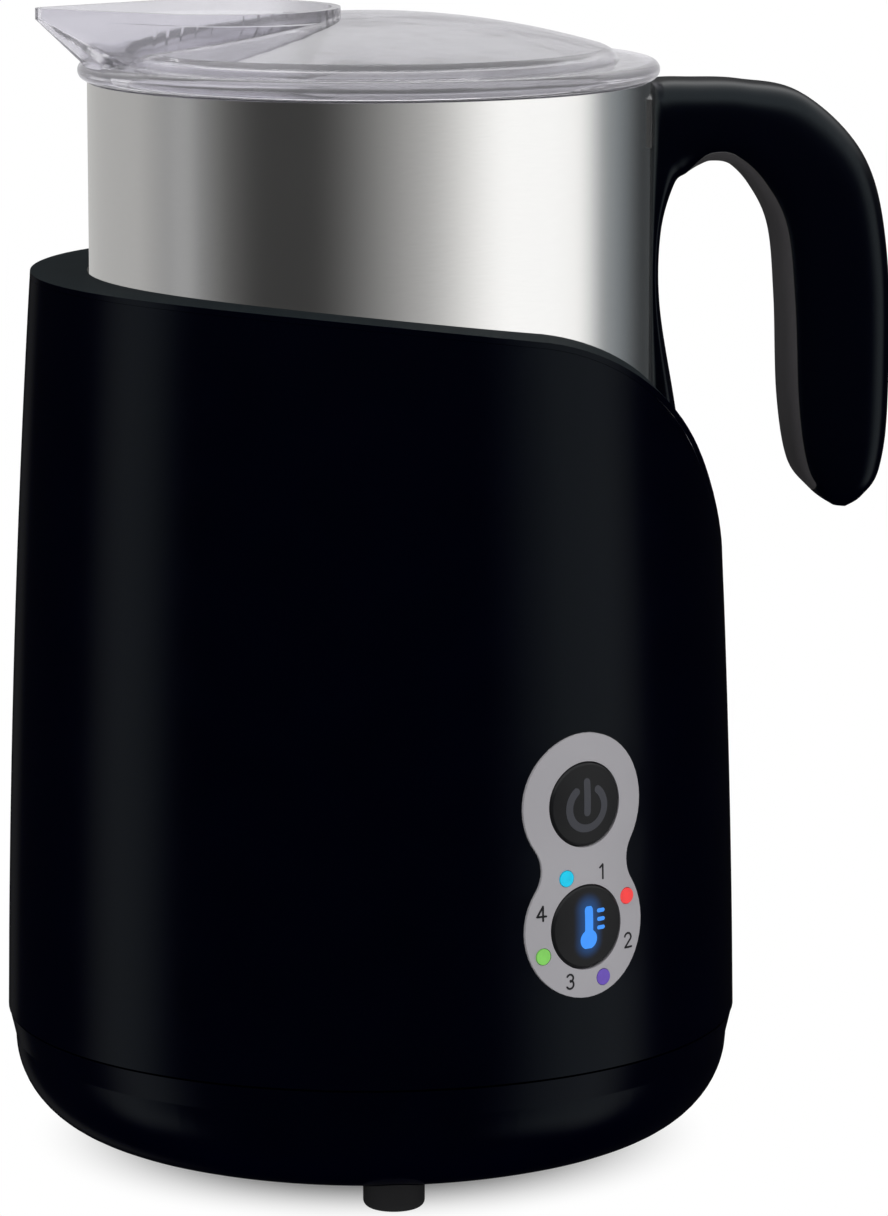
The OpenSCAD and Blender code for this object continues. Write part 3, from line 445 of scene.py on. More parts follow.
def circuit_board(name):
    """Green solder mask, paler over its tracks, with tinned pads."""
    s = paint(name)
    tracks = s.cells(4 * MM, "DISTANCE_TO_EDGE")
    lanes = s.smooth(tracks, 0.10, 0.06)
    pads = s.smooth(s.cells(3.1 * MM), 0.22, 0.17)
    mask = s.mix(lanes, (0.012, 0.085, 0.03), (0.03, 0.16, 0.055))
    tint = s.mix(pads, mask, (0.62, 0.62, 0.6))
    return plastic(s, tint, 0.42 - pads * 0.15, Metallic=pads * 0.9,
                   Normal=s.bump(lanes + pads, 0.05 * MM, 0.5))


def litz_wire(name, colour):
    """Enamelled strands twisted into a rope, wound flat, with painted shade darkening the grooves between
    strands.
    """
    s = paint(name)
    x, y, z = s.split(s.place())
    x = x - AXIS.x
    angle = s.math("ARCTAN2", y, x)
    radius = (x * x + y * y) ** 0.5
    turn = s.math("SINE", angle * 90 + z * 4200 + radius * 900)
    strands_and_groove_shade = s.smooth(turn, -0.8, 0.9)
    # Painted shade: the colour is darkened to 0.45 in the grooves between the strands
    tint = s.mix(strands_and_groove_shade, tinted(colour, 0.45), tinted(colour, 1.15))
    return plastic(s, tint, 0.36, Metallic=0.75, Normal=s.bump(strands_and_groove_shade, 0.12 * MM, 0.8))


def sintered(name, colour):
    """Pressed and fired powder, dull and speckled."""
    s = paint(name)
    specks = s.noise(0.25 * MM, 5)
    tint = s.mix(specks, tinted(colour, 0.7), tinted(colour, 1.5))
    return plastic(s, tint, 0.68, Normal=s.bump(specks, 0.05 * MM, 0.5), Specular_IOR_Level=0.3)


def taped_winding(name, colour):
    """Winding under layers of amber tape on a dark bobbin and core."""
    s = paint(name)
    z = s.split(s.place())[2]
    low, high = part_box("transformer")
    core = s.smooth(abs(z - (low.z + high.z) / 2), 5.4 * MM, 5.6 * MM)
    wraps = s.math("SINE", z * 5200)
    tape = s.mix(s.smooth(wraps, 0.7, 1.0), tinted(colour, 1.0), tinted(colour, 0.72))
    tint = s.mix(core, tape, (0.03, 0.03, 0.033))
    return plastic(s, tint, 0.35 + core * 0.3, Normal=s.bump(wraps, 0.03 * MM, 0.4))


def sleeved_can(name, colour):
    """Shrink sleeve with a pale polarity stripe and a bare aluminium top."""
    s = paint(name)
    y, z = s.split(s.place())[1:]
    can_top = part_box("filter_capacitors")[1].z
    top = s.smooth(z, can_top - 0.7 * MM, can_top - 0.5 * MM)
    stripe = s.smooth(s.math("SINE", y * 420 + 0.8), 0.90, 0.96)
    sleeve = s.mix(stripe, colour, (0.45, 0.5, 0.55))
    tint = s.mix(top, sleeve, (0.75, 0.75, 0.76))
    return plastic(s, tint, 0.3, Metallic=top * 0.95, Normal=s.bump(s.noise(2 * MM, 2), 0.03 * MM, 0.3))


def satin_paint(name, colour):
    """Satin paint with fine flake in it."""
    s = paint(name)
    flake = s.cells(0.09 * MM)
    cloud = s.noise(14 * MM, 2)
    tint = s.mix(cloud, tinted(colour, 0.93), tinted(colour, 1.07))
    return plastic(s, tint, 0.42 + cloud * 0.06, Metallic=0.25,
                   Normal=s.bump(flake, 0.004 * MM, 0.5), Specular_IOR_Level=0.3)


def button_cap(name, finish, centre=None):
    """Satin black cap; a lit one, given its middle, has light spilling round its mark."""
    mark_low, mark_high = -2.6 * MM, 3.0 * MM
    halo_out, halo_in = 3.4 * MM, 0.8 * MM
    s = paint(name)
    cloud = s.noise(3 * MM, 2)
    tint = s.mix(cloud, (0.0065, 0.0068, 0.0078), (0.0092, 0.0095, 0.0105))
    glow = {}
    if centre is not None:
        out = s.node(
            "ShaderNodeVectorMath", {"operation": "SUBTRACT"}, {0: s.place(), 1: centre}).outputs[0]
        across = Value(s, s.node("ShaderNodeVectorMath", {"operation": "DOT_PRODUCT"},
                                 {0: out, 1: RIGHTWARD}).outputs["Value"])
        height = s.split(out)[2]
        beyond = height - s.math("MINIMUM", s.math("MAXIMUM", height, mark_low), mark_high)
        distance = (across * across + beyond * beyond) ** 0.5
        halo = s.smooth(distance, halo_out, halo_in)
        glow = {
            "Emission_Color": s.mix(halo, (0, 0, 0), tinted(finish.glow_colour, 0.55)),
            "Emission_Strength": 0.35,
        }
    return plastic(s, tint, 0.3 + cloud * 0.05, Normal=s.bump(s.noise(0.3 * MM, 2), 0.006 * MM, 0.5),
                   Specular_IOR_Level=0.3, **glow)


def clear_plastic(name, finish):
    """Clear moulding with flow lines in its surface, and painted shade that makes it greyer over the dome
    than elsewhere.
    """
    dome_left, dome_right = AXIS.x - 18 * MM, AXIS.x - 8 * MM
    dome_out, dome_in = 46 * MM, 42 * MM
    s = paint(name)
    flow = s.noise(14 * MM, 2, (1, 1, 2))
    x, y = s.split(s.place())[:2]
    radius = ((x - AXIS.x) ** 2 + y ** 2) ** 0.5
    # Painted shade: over the dome the plastic's colour is darkened to 0.7 of the lid colour
    painted_dome_shade = s.smooth(x, dome_left, dome_right) * s.smooth(radius, dome_out, dome_in)
    tint = s.mix(flow, tinted(finish.lid_colour, 0.97), tinted(finish.lid_colour, 1.03))
    tint = s.mix(painted_dome_shade, tint, tinted(finish.lid_colour, 0.7))
    return plastic(s, tint, 0.06 + flow * 0.03, Normal=s.bump(flow, 0.3 * MM, 0.7),
                   Transmission_Weight=0.88, IOR=1.46)


def frosted_silicone(name, colour):
    """Milky, slightly dull silicone."""
    s = paint(name)
    cloud = s.noise(3 * MM, 2)
    tint = s.mix(cloud, tinted(colour, 0.94), tinted(colour, 1.04))
    return plastic(s, tint, 0.5 + cloud * 0.08, Transmission_Weight=0.35, IOR=1.41,
                   Normal=s.bump(s.noise(0.5 * MM, 2), 0.01 * MM, 0.3))


def lit_mark(name, finish):
    """Translucent mark with the lamp behind it."""
    s = paint(name)
    cloud = s.noise(2.5 * MM, 2)
    tint = s.mix(cloud, tinted(finish.glow_colour, 0.85), tinted(finish.glow_colour, 1.1))
    return plastic(s, (0.02, 0.1, 0.3), 0.4, Emission_Color=tint, Emission_Strength=0.9)


# ---- mesh helpers ----


def smooth_faces(piece, angle=CREASE):
    """Shades a CAD node or a made piece smooth, except over edges sharper than the angle."""
    mesh = (nodes[piece] if isinstance(piece, str) else piece).data
    mesh.shade_smooth()
    work = bmesh.new()
    work.from_mesh(mesh)
    sharp = [e.index for e in work.edges if len(e.link_faces) != 2 or e.calc_face_angle() > angle]
    work.free()
    marks = mesh.attributes.get("sharp_edge") or mesh.attributes.new("sharp_edge", "BOOLEAN", "EDGE")
    flags = [False] * len(mesh.edges)
    for index in sharp:
        flags[index] = True
    marks.data.foreach_set("value", flags)


def cover(material, *names):
    """Gives a material to CAD nodes."""
    for name in names:
        mesh = nodes[name].data
        mesh.materials.clear()
        mesh.materials.append(material)


def to_object(work, name, material=None):
    """Turns mesh work into an object in the scene."""
    mesh = bpy.data.meshes.new(name)
    work.to_mesh(mesh)
    work.free()
    if material:
        mesh.materials.append(material)
    made = bpy.data.objects.new(name, mesh)
    bpy.context.scene.collection.objects.link(made)
    return made


def arc(centre, radius, start, end, count):
    """Points on an arc, in the panel's flat coordinates, angles in degrees."""
    angles = [math.radians(start + (end - start) * i / count) for i in range(count + 1)]
    return [(centre[0] + radius * math.cos(a), centre[1] + radius * math.sin(a)) for a in angles]


def ribbon(points, width, step=0.3 * MM):
    """Pairs of left and right edge points along a round-ended line of this width."""
    line = [Vector(points[0])]
    for start, end in zip(points, points[1:]):
        start, end = Vector(start), Vector(end)
        count = max(1, math.ceil((end - start).length / step))
        line += [start.lerp(end, i / count) for i in range(1, count + 1)]
    half, last = width / 2, len(line) - 1
    ahead = [(line[min(i + 1, last)] - line[max(i - 1, 0)]).normalized() for i in range(last + 1)]
    turns = [math.radians(a) for a in (85, 65, 45, 25)]
    spots = [(line[0] - ahead[0] * half * math.sin(a), ahead[0], half * math.cos(a)) for a in turns]
    spots += [(p, way, half) for p, way in zip(line, ahead)]
    spots += [
        (line[-1] + ahead[-1] * half * math.sin(a), ahead[-1], half * math.cos(a))
        for a in turns[::-1]]
    return [
        (at + Vector((-way.y, way.x)) * wide, at - Vector((-way.y, way.x)) * wide)
        for at, way, wide in spots]


def drape(node, centre):
    """A function that lays a flat panel point on a CAD node's outer surface."""
    mesh = nodes[node].data
    tree = BVHTree.FromPolygons([v.co for v in mesh.vertices], [p.vertices for p in mesh.polygons])

    def lay(point, lift):
        start = centre + OUTWARD * 0.2 + RIGHTWARD * point[0] + UP * point[1]
        hit = tree.ray_cast(start, -OUTWARD)[0]
        if hit is None:
            raise RuntimeError(f"a mark misses {node} at {point}")
        return hit + OUTWARD * lift

    return lay


def printed(name, ribbons, lay, lift, material, body):
    """Makes raised marks from ribbons laid on a surface, each a hair above the one before."""
    work = bmesh.new()
    for rank, stations in enumerate(ribbons):
        widest = max((left - right).length for left, right in stations)
        lanes = max(1, math.ceil(widest / LANE_WIDTH))
        height = lift + rank * RIBBON_STEP
        rows = [
            [work.verts.new(lay(left.lerp(right, k / lanes), height)) for k in range(lanes + 1)]
            for left, right in stations]
        for row, after in zip(rows, rows[1:]):
            for k in range(lanes):
                work.faces.new((row[k], after[k], after[k + 1], row[k + 1]))
    rim = [e for e in work.edges if e.is_boundary]
    skirt = bmesh.ops.extrude_edge_only(work, edges=rim)["geom"]
    bmesh.ops.translate(
        work, verts=[v for v in skirt if isinstance(v, bmesh.types.BMVert)],
        vec=OUTWARD * -(lift + SKIRT_DEPTH))
    bmesh.ops.recalc_face_normals(work, faces=work.faces)
    made = to_object(work, name, material)
    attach(made, body)
    return made


# Lines of each number on the dial, as shares of its height round its middle
NUMBER_LINES = {
    1: [[(-0.2, 0.3), (0.05, 0.5)], [(0.05, 0.5), (0.05, -0.5)]],
    2: [arc((0, 0.2), 0.3, 165, -20, 10) + [(-0.28, -0.5)], [(-0.28, -0.5), (0.34, -0.5)]],
    3: [arc((-0.02, 0.24), 0.26, 150, -80, 9), arc((-0.02, -0.22), 0.29, 85, -150, 10)],
    4: [[(0.12, -0.5), (0.12, 0.5)], [(0.12, 0.5), (-0.34, -0.2)], [(-0.34, -0.2), (0.36, -0.2)]],
}


# Place of each number on its ring, in degrees
NUMBER_ANGLES = {1: 70, 2: -22, 3: 248, 4: 160}


def numbers(marks):
    """Ribbons of the dial's numbers, each standing upright on the ring between two lamps."""
    ribbons = []
    for digit, angle in NUMBER_ANGLES.items():
        turn = math.radians(angle)
        at = Vector((math.cos(turn), math.sin(turn))) * marks.number_ring
        for line in NUMBER_LINES[digit]:
            points = [at + Vector(p) * marks.number_height for p in line]
            ribbons.append(ribbon(points, marks.number_stroke))
    return ribbons


def power_mark(marks):
    """Ring open at the top with a bar through the opening."""
    ring_middle, bar_low, bar_high = -0.45 * MM, -1.3 * MM, 3.95 * MM
    ring = arc((0, ring_middle), marks.ring_radius, 128, 412, 60)
    bar = [(0, bar_low), (0, bar_high)]
    return [ribbon(ring, marks.mark_stroke), ribbon(bar, marks.mark_stroke)]


def warmth_mark(marks):
    """Thermometer with three short lines beside it."""
    tube, bulb, low, high = 0.85 * MM, 1.75 * MM, -2.15 * MM, 3.0 * MM
    tick_start, tick_end, tick_heights = 2.1 * MM, 3.1 * MM, (2.7, 1.2, -0.3)
    stations = []
    bottom, top, count = low - bulb, high + tube, 60
    for i in range(1, count):
        y = bottom + (top - bottom) * i / count
        wide = max(bulb ** 2 - (y - low) ** 2, 0) ** 0.5
        if y > low:
            wide = max(wide, max(tube ** 2 - max(y - high, 0) ** 2, 0) ** 0.5)
        stations.append((Vector((-wide, y)), Vector((wide, y))))
    ticks = [
        ribbon([(tick_start, y * MM), (tick_end, y * MM)], marks.mark_stroke * 0.5)
        for y in tick_heights]
    return [stations] + ticks


def handle_sections(sizes):
    """Outer point, inner point and width of each section of the handle, in millimetres.

    They run up the jug's wall, over the arm and down the grip; places are from the jug's wall
    and the handle's top."""
    drop, reach, width = sizes.drop / MM, sizes.reach / MM, sizes.width / MM
    rows = [
        (0, -drop, 7.6, -drop), (0, -58, 4.6, -58), (0, -40, 1.7, -40), (0, -27, 1.8, -27),
        (0, -10, 4.1, -18.6), (0, -2.4, 6.3, -16.6), (1.5, -0.2, 8.5, -15.2), (8, 0, 10.9, -14.4),
        (17, -0.4, 14.5, -15.2), (reach - 15.2, -3, reach - 24.6, -19.4),
        (reach - 4.5, -14.3, reach - 21, -27), (reach - 0.4, -32, reach - 19.7, -40),
        (reach, 20 - drop, reach - 19, 20 - drop), (reach - 1.4, 7.5 - drop, reach - 17.1, 8.3 - drop),
        (reach - 4.4, 2.6 - drop, reach - 13.7, 3.4 - drop),
        (reach - 7.1, 0.4 - drop, reach - 10, 0.7 - drop)]
    taper = {13: 1, 14: 4, 15: 11}
    return [(*row, width - taper.get(i, 0)) for i, row in enumerate(rows)]


def between(sections, u):
    """Section at place u on the smooth curve through the sections."""
    i = min(int(u), len(sections) - 2)
    t = u - i
    a, b, c, d = (sections[min(max(k, 0), len(sections) - 1)] for k in (i - 1, i, i + 1, i + 2))
    return [
        0.5 * (2 * q + (r - p) * t + (2 * p - 5 * q + 4 * r - s) * t ** 2
               + (3 * q - p - 3 * r + s) * t ** 3)
        for p, q, r, s in zip(a, b, c, d)]


def ease(t):
    """0 up to 0, 1 from 1 on, and a soft step between."""
    t = min(max(t, 0), 1)
    return t * t * (3 - 2 * t)


def handle_ring(section, first, span, count):
    """Points round a section, from a first angle over a span, bent to the jug's wall near it."""
    gap, bend = 0.22, 12
    wall = jug_radius / MM + gap
    outer, inner = Vector(section[:2]), Vector(section[2:4])
    points = []
    for k in range(count):
        angle = first + span * k / (count - 1)
        along = math.copysign(abs(math.cos(angle)) ** 0.5, math.cos(angle))
        across = math.copysign(abs(math.sin(angle)) ** 0.5, math.sin(angle))
        at = (outer + inner) / 2 + (inner - outer) / 2 * along
        x, y = max(at.x, 0), section[4] / 2 * across
        hug = math.sqrt(wall ** 2 - y ** 2) - jug_radius / MM
        out = AXIS.x / MM + jug_radius / MM + x + hug * max(1 - x / bend, 0)
        points.append(Vector((out, y, handle_top / MM + at.y)) * MM)
    return points


def cutter(low, high, radius=0):
    """Tool in the shape of a box, or of a round bar along x when it has a radius."""
    work = bmesh.new()
    low, high = Vector(low), Vector(high)
    if radius:
        bmesh.ops.create_cone(
            work, cap_ends=True, segments=48, radius1=radius, radius2=radius, depth=high.x - low.x)
        bmesh.ops.rotate(work, verts=work.verts, matrix=Matrix.Rotation(math.pi / 2, 3, "Y"))
    else:
        bmesh.ops.create_cube(work, size=1)
        bmesh.ops.scale(work, verts=work.verts, vec=high - low)
    bmesh.ops.translate(work, verts=work.verts, vec=(low + high) / 2)
    return to_object(work, "cutter")


def cut_out(piece, tools):
    """Takes the tools' shapes out of a piece and removes the tools."""
    for tool in tools:
        cut = piece.modifiers.new("cut", "BOOLEAN")
        cut.object = tool
        cut.solver = "EXACT"
    graph = bpy.context.evaluated_depsgraph_get()
    mesh = bpy.data.meshes.new_from_object(piece.evaluated_get(graph))
    piece.modifiers.clear()
    old, piece.data = piece.data, mesh
    bpy.data.meshes.remove(old)
    for tool in tools:
        bpy.data.meshes.remove(tool.data)


def bracket_room():
    """Tools for the brackets' pockets, the screw's hole and its head's recess."""
    wall, low = AXIS.x + jug_radius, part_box("handle")[0].z
    screw = low + 9 * MM
    return [
        cutter((wall - 9 * MM, -6.2 * MM, handle_top - 12 * MM),
               (wall + 3 * MM, 6.2 * MM, handle_top - 3 * MM)),
        cutter((wall - 9 * MM, -5.2 * MM, low + 4 * MM), (wall + 2.4 * MM, 5.2 * MM, low + 14.4 * MM)),
        cutter((wall - 1 * MM, 0, screw), (wall + 19 * MM, 0, screw), 1.8 * MM),
        cutter((wall + 4.4 * MM, 0, screw), (wall + 24.4 * MM, 0, screw), 3.1 * MM),
    ]


def handle_skin(name, sizes, start, end, pad, material, node):
    """Smooth skin over the handle's sections from start to end that stands for a CAD node."""
    sections = handle_sections(sizes)
    fine, count = 12, 73
    work = bmesh.new()
    rows = []
    for i in range(round(start * fine), round(end * fine) + 1):
        u = i / fine
        section = between(sections, u)
        depth = (Vector(section[2:4]) - Vector(section[:2])).length
        grown = ease((u - PAD_START) / PAD_GROWTH) * ease((PAD_END - u) / PAD_FADE)
        skin = (sizes.pad * grown - (sizes.groove if pad else 0)) / MM
        cut = math.acos(min(max(1 - 2 * skin / depth, 0), 1) ** 2)
        if pad:
            first, span = -cut, 2 * cut
        else:
            first = max(cut, math.pi / count)
            span = 2 * math.pi - 2 * first
        rows.append([work.verts.new(p) for p in handle_ring(section, first, span, count)])
    for row, after in zip(rows, rows[1:]):
        for k in range(count):
            nxt = (k + 1) % count
            work.faces.new((row[k], after[k], after[nxt], row[nxt]))
    work.faces.new(rows[0])
    work.faces.new(rows[-1][::-1])
    bmesh.ops.recalc_face_normals(work, faces=work.faces)
    made = to_object(work, name, material)
    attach(made, "jug")
    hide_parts(node)
    return made


# ---- operators ----


class FROTHER_OT_base_unit(bpy.types.Operator):
    """Finish the base unit's shell, well, tray, feet, screws and cord bush"""

    bl_idname = "frother.base_unit"
    bl_label = "Base Unit"

    def execute(self, context):
        finish = context.scene.frother_finish
        cover(matt_topped("shell_black", finish, finish.body_colour, 0.0), "outer_shell", "bottom_tray")
        cover(matt_topped("rim_black", finish, finish.rim_colour, 0.02), "jug_well")
        cover(soft_rubber("foot_rubber", (0.012, 0.012, 0.013)),
              "foot_front", "foot_right", "foot_left", "cord_bush")
        cover(plated("zinc", (0.55, 0.55, 0.56)), "tray_screws", "board_screws", "board_posts",
              "former_screws", "motor_screws", "motor_bracket", "handle_screw")
        for name in ("outer_shell", "bottom_tray", "jug_well", "foot_front", "foot_right",
                     "foot_left", "cord_bush", "tray_screws"):
            smooth_faces(name)
        return {"FINISHED"}


class FROTHER_OT_control_panel(bpy.types.Operator):
    """Finish the plate, lamps and buttons and print their marks"""

    bl_idname = "frother.control_panel"
    bl_label = "Control Panel"

    def execute(self, context):
        finish = context.scene.frother_finish
        marks = context.scene.frother_print
        cover(satin_paint("plate_silver", finish.plate_colour), "control_plate")
        for node, colour in (("lamp_red", (0.80, 0.045, 0.045)), ("lamp_cyan", (0.0, 0.50, 0.72)),
                             ("lamp_green", (0.18, 0.52, 0.09)), ("lamp_violet", (0.11, 0.06, 0.36))):
            cover(lamp_lens(f"{node}_lens", colour, 0.25), node)
        cover(button_cap("cap_black", finish), "power_button")
        cover(button_cap("cap_black_lit", finish, MODE), "mode_button")
        for name in ("control_plate", "lamp_red", "lamp_cyan", "lamp_green", "lamp_violet",
                     "power_button", "mode_button"):
            smooth_faces(name)
        print_black = fine_grain("print_black", (0.01, 0.01, 0.012), 0.5, 0.2 * MM, 0.004 * MM)
        print_grey = satin_paint("print_grey", (0.062, 0.064, 0.075))
        printed("dial_numbers", numbers(marks), drape("control_plate", MODE), marks.lift, print_black,
                "base")
        printed("power_mark", power_mark(marks), drape("power_button", POWER), marks.lift, print_grey,
                "power_key")
        printed("warmth_mark", warmth_mark(marks), drape("mode_button", MODE), marks.lift,
                lit_mark("glow_blue", finish), "mode_key")
        return {"FINISHED"}


class FROTHER_OT_electronics(bpy.types.Operator):
    """Finish the boards, switches, lamps' diodes and the parts on the main board"""

    bl_idname = "frother.electronics"
    bl_label = "Electronics"

    def execute(self, context):
        cover(circuit_board("solder_mask"), "control_board", "main_board")
        cover(moulded("switch_black", (0.02, 0.02, 0.02)), "power_switch", "mode_switch")
        cover(moulded("ivory_moulding", (0.62, 0.58, 0.48)), "power_plunger", "mode_plunger",
              "terminal_block", "coil_former", "magnet_carrier")
        cover(moulded("diode_resin", (0.75, 0.75, 0.7), 0.15, 0.5), "indicator_leds")
        cover(taped_winding("amber_tape", (0.62, 0.42, 0.04)), "transformer")
        cover(sleeved_can("can_sleeve", (0.01, 0.015, 0.06)), "filter_capacitors")
        cover(moulded("relay_blue", (0.02, 0.06, 0.25), 0.3), "relay")
        cover(brushed_steel("extruded_aluminium", (0.72, 0.72, 0.74), 0.34, (1, 12, 1)), "heat_sink")
        cover(fine_grain("package_black", (0.015, 0.015, 0.016), 0.5, 0.25 * MM), "power_transistor")
        for name in ("indicator_leds", "filter_capacitors", "power_plunger", "mode_plunger",
                     "coil_former", "magnet_carrier", "board_posts", "board_screws", "main_board"):
            smooth_faces(name)
        return {"FINISHED"}


class FROTHER_OT_drive(bpy.types.Operator):
    """Finish the induction coil, ferrite, sensor, motor and magnets"""

    bl_idname = "frother.drive"
    bl_label = "Coil and Drive"

    def execute(self, context):
        cover(litz_wire("litz_copper", (0.72, 0.30, 0.12)), "induction_coil")
        cover(sintered("ferrite_grey", (0.02, 0.02, 0.023)), "ferrite_bars")
        cover(brushed_steel("drawn_can", (0.5, 0.5, 0.52), 0.3), "motor")
        cover(plated("ground_steel", (0.6, 0.6, 0.61), 0.2), "drive_shaft", "temperature_sensor")
        cover(plated("nickel", (0.66, 0.64, 0.6), 0.22), "drive_magnets", "whisk_magnets")
        for name in ("induction_coil", "motor", "motor_bracket", "drive_shaft", "temperature_sensor",
                     "drive_magnets", "former_screws", "motor_screws"):
            smooth_faces(name)
        return {"FINISHED"}


class FROTHER_OT_jug(bpy.types.Operator):
    """Finish the steel jug, its brackets and its handle"""

    bl_idname = "frother.jug"
    bl_label = "Jug and Handle"

    def execute(self, context):
        finish = context.scene.frother_finish
        cover(brushed_steel("jug_steel", finish.steel_colour, 0.12, depth=0.0015 * MM), "jug_shell")
        cover(brushed_steel("bracket_steel", finish.steel_colour, 0.3), "upper_bracket", "lower_bracket")
        cover(plated("spindle_steel", finish.steel_colour, 0.2), "whisk_spindle")
        sizes = context.scene.frother_handle
        last = len(handle_sections(sizes)) - 1
        moulding = handle_skin(
            "handle_moulding", sizes, 0, last, False, gloss_black("handle_black", finish, 0.22, 1.8),
            "handle")
        cut_out(moulding, bracket_room())
        pad = handle_skin(
            "grip_pad", sizes, PAD_START + PAD_START_TRIM, PAD_END - PAD_END_TRIM, True,
            fine_grain("grip_soft", finish.grip_colour, 0.6, 0.3 * MM), "grip_cover")
        for name in ("jug_shell", "whisk_spindle", "upper_bracket", "lower_bracket", "handle_screw"):
            smooth_faces(name)
        for piece in (nodes["jug_well"], nodes["outer_shell"], moulding, pad):
            piece.visible_glossy = False
        smooth_faces(moulding, HANDLE_CREASE)
        smooth_faces(pad, HANDLE_CREASE)
        return {"FINISHED"}


class FROTHER_OT_whisk(bpy.types.Operator):
    """Finish the whisk's hub and its frothing coil"""

    bl_idname = "frother.whisk"
    bl_label = "Whisk"

    def execute(self, context):
        cover(fine_grain("whisk_black", (0.015, 0.015, 0.016), 0.45), "whisk_hub")
        cover(plated("spring_steel", (0.66, 0.66, 0.67), 0.18), "frothing_coil")
        smooth_faces("whisk_hub")
        smooth_faces("whisk_magnets")
        smooth_faces("frothing_coil", WIRE_CREASE)
        return {"FINISHED"}


class FROTHER_OT_lid(bpy.types.Operator):
    """Finish the clear lid and its seal"""

    bl_idname = "frother.lid"
    bl_label = "Lid"

    def execute(self, context):
        finish = context.scene.frother_finish
        cover(clear_plastic("lid_clear", finish), "lid")
        cover(frosted_silicone("seal_silicone", (0.7, 0.7, 0.73)), "lid_seal")
        smooth_faces("lid", LID_CREASE)
        smooth_faces("lid_seal")
        return {"FINISHED"}


# ---- stage ----

# Soft boxes round the object, each as first edge, last edge, fade in, fade out and strength; the angles
# are in degrees from the camera's side
ROOM_GLOW, ROOM_BOXES = 0.005, (
    (-168, -148, 6, 6, 0.03),
    (-106, -60, 22, 20, 0.5),
    (36, 102, 32, 22, 0.6))
STEEL_GLOW, STEEL_BOXES = 0.06, (
    (-200, -40, 10, 70, 0.55),
    (-25, 112, 85, 22, 0.95),
    (20, 150, 40, 60, 0.5))
LID_GLOW, LID_BOXES = 0.45, (
    (-200, -20, 10, 40, 0.25),
    (20, 200, 40, 10, 0.3))

# Where the ceiling, the floor and the horizon fade in, as the height of a direction of length one
CEILING_EDGE, FLOOR_EDGE, HORIZON_EDGE = (0.12, 0.6), (-0.5, -0.8), (-0.06, 0.04)
CEILING_GLOW, HORIZON_GLOW = 0.95, 0.035

# Colours of the steel's and the lid's screens before and after the turn, which is in degrees
TONE_TURN = (92, 125)
STEEL_TONES = ((1.0, 0.99, 0.97), (0.92, 1.0, 1.05))
LID_TONES = ((0.97, 0.96, 1.0), (0.97, 0.96, 1.0))

# Height of a screen as a share of its radius, and the lid's screen as a share of the steel's
SCREEN_HEIGHT, LID_SCREEN = 1.6, 1.2

# The floor turns from lit to plain white between these distances from the jug's axis
FLOOR_FADE = (28 * MM, 63 * MM)

# Name, place from the jug's axis, size and setting for the power of each lamp
LAMPS = (
    ("top_lamp", (0.1, -0.3, 1.3), 1.2, "top_power"),
    ("left_lamp", (-1.1, -0.7, 0.6), 0.7, "side_power"),
    ("right_lamp", (1.1, -0.8, 0.6), 0.7, "side_power"))


def heading(s, stage, x, y):
    """Angle of a direction from the camera's side of the object, growing to the right, in degrees."""
    turn = stage.camera_turn
    across = x * math.cos(turn) - y * math.sin(turn)
    toward = x * -math.sin(turn) - y * math.cos(turn)
    return s.math("ARCTAN2", across, toward) * math.degrees(1)


def soft_boxes(s, angle, glow, boxes):
    """Brightness round the room: an even glow and soft boxes that fade at both edges."""
    level = glow
    for first, last, fade_in, fade_out, strength in boxes:
        level = (s.smooth(angle, first, first + fade_in)
                 * s.smooth(angle, last, last - fade_out) * strength + level)
    return level


def studio(stage):
    """World: white to the camera, soft boxes for reflections, even light for the rest."""
    s = Shader(bpy.data.worlds.new("studio"))
    x, y, z = s.split(s.node("ShaderNodeTexCoord").outputs["Generated"])
    room = soft_boxes(s, heading(s, stage, x, y), ROOM_GLOW, ROOM_BOXES)
    above = s.smooth(z, *CEILING_EDGE)
    below = s.smooth(z, *FLOOR_EDGE)
    horizon = s.smooth(z, *HORIZON_EDGE) * HORIZON_GLOW
    mirrored = room * (1 - above) * (1 - below) + horizon + above * CEILING_GLOW
    path = s.node("ShaderNodeLightPath")
    glossy, camera, through = (
        Value(s, path.outputs[k]) for k in ("Is Glossy Ray", "Is Camera Ray", "Is Transmission Ray"))
    seen = s.math("MAXIMUM", camera, through)
    level = (stage.ambient * (1 - glossy) + mirrored * glossy) * (1 - seen) + seen
    sky = s.node("ShaderNodeBackground", None, {"Color": (1, 1, 1), "Strength": level})
    return s.output(sky.outputs[0])


def screen(stage, name, receivers, radius, glow, boxes, tones):
    """Round screen that only some pieces mirror, over the room that every piece mirrors."""
    s = paint(name)
    x, y = s.split(s.node("ShaderNodeNewGeometry").outputs["Position"])[:2]
    angle = heading(s, stage, x - AXIS.x, y - AXIS.y)
    room = soft_boxes(s, angle, ROOM_GLOW, ROOM_BOXES)
    level = s.math("MAXIMUM", soft_boxes(s, angle, glow, boxes) - room, 0)
    tone = s.mix(s.smooth(angle, *TONE_TURN), *tones)
    light = s.node("ShaderNodeEmission", None, {"Color": tone, "Strength": level})
    clear = s.node("ShaderNodeBsdfTransparent")
    both = s.node("ShaderNodeAddShader", None, {0: light.outputs[0], 1: clear.outputs[0]})
    work = bmesh.new()
    bmesh.ops.create_cone(
        work, segments=72, radius1=radius, radius2=radius, depth=radius * SCREEN_HEIGHT)
    bmesh.ops.translate(work, verts=work.verts, vec=AIM)
    made = to_object(work, name, s.output(both.outputs[0]))
    for ray in ("camera", "diffuse", "transmission", "shadow"):
        setattr(made, f"visible_{ray}", False)
    lit = bpy.data.collections.new(f"{name}_pieces")
    for node in receivers:
        lit.objects.link(nodes[node])
    made.light_linking.receiver_collection = lit


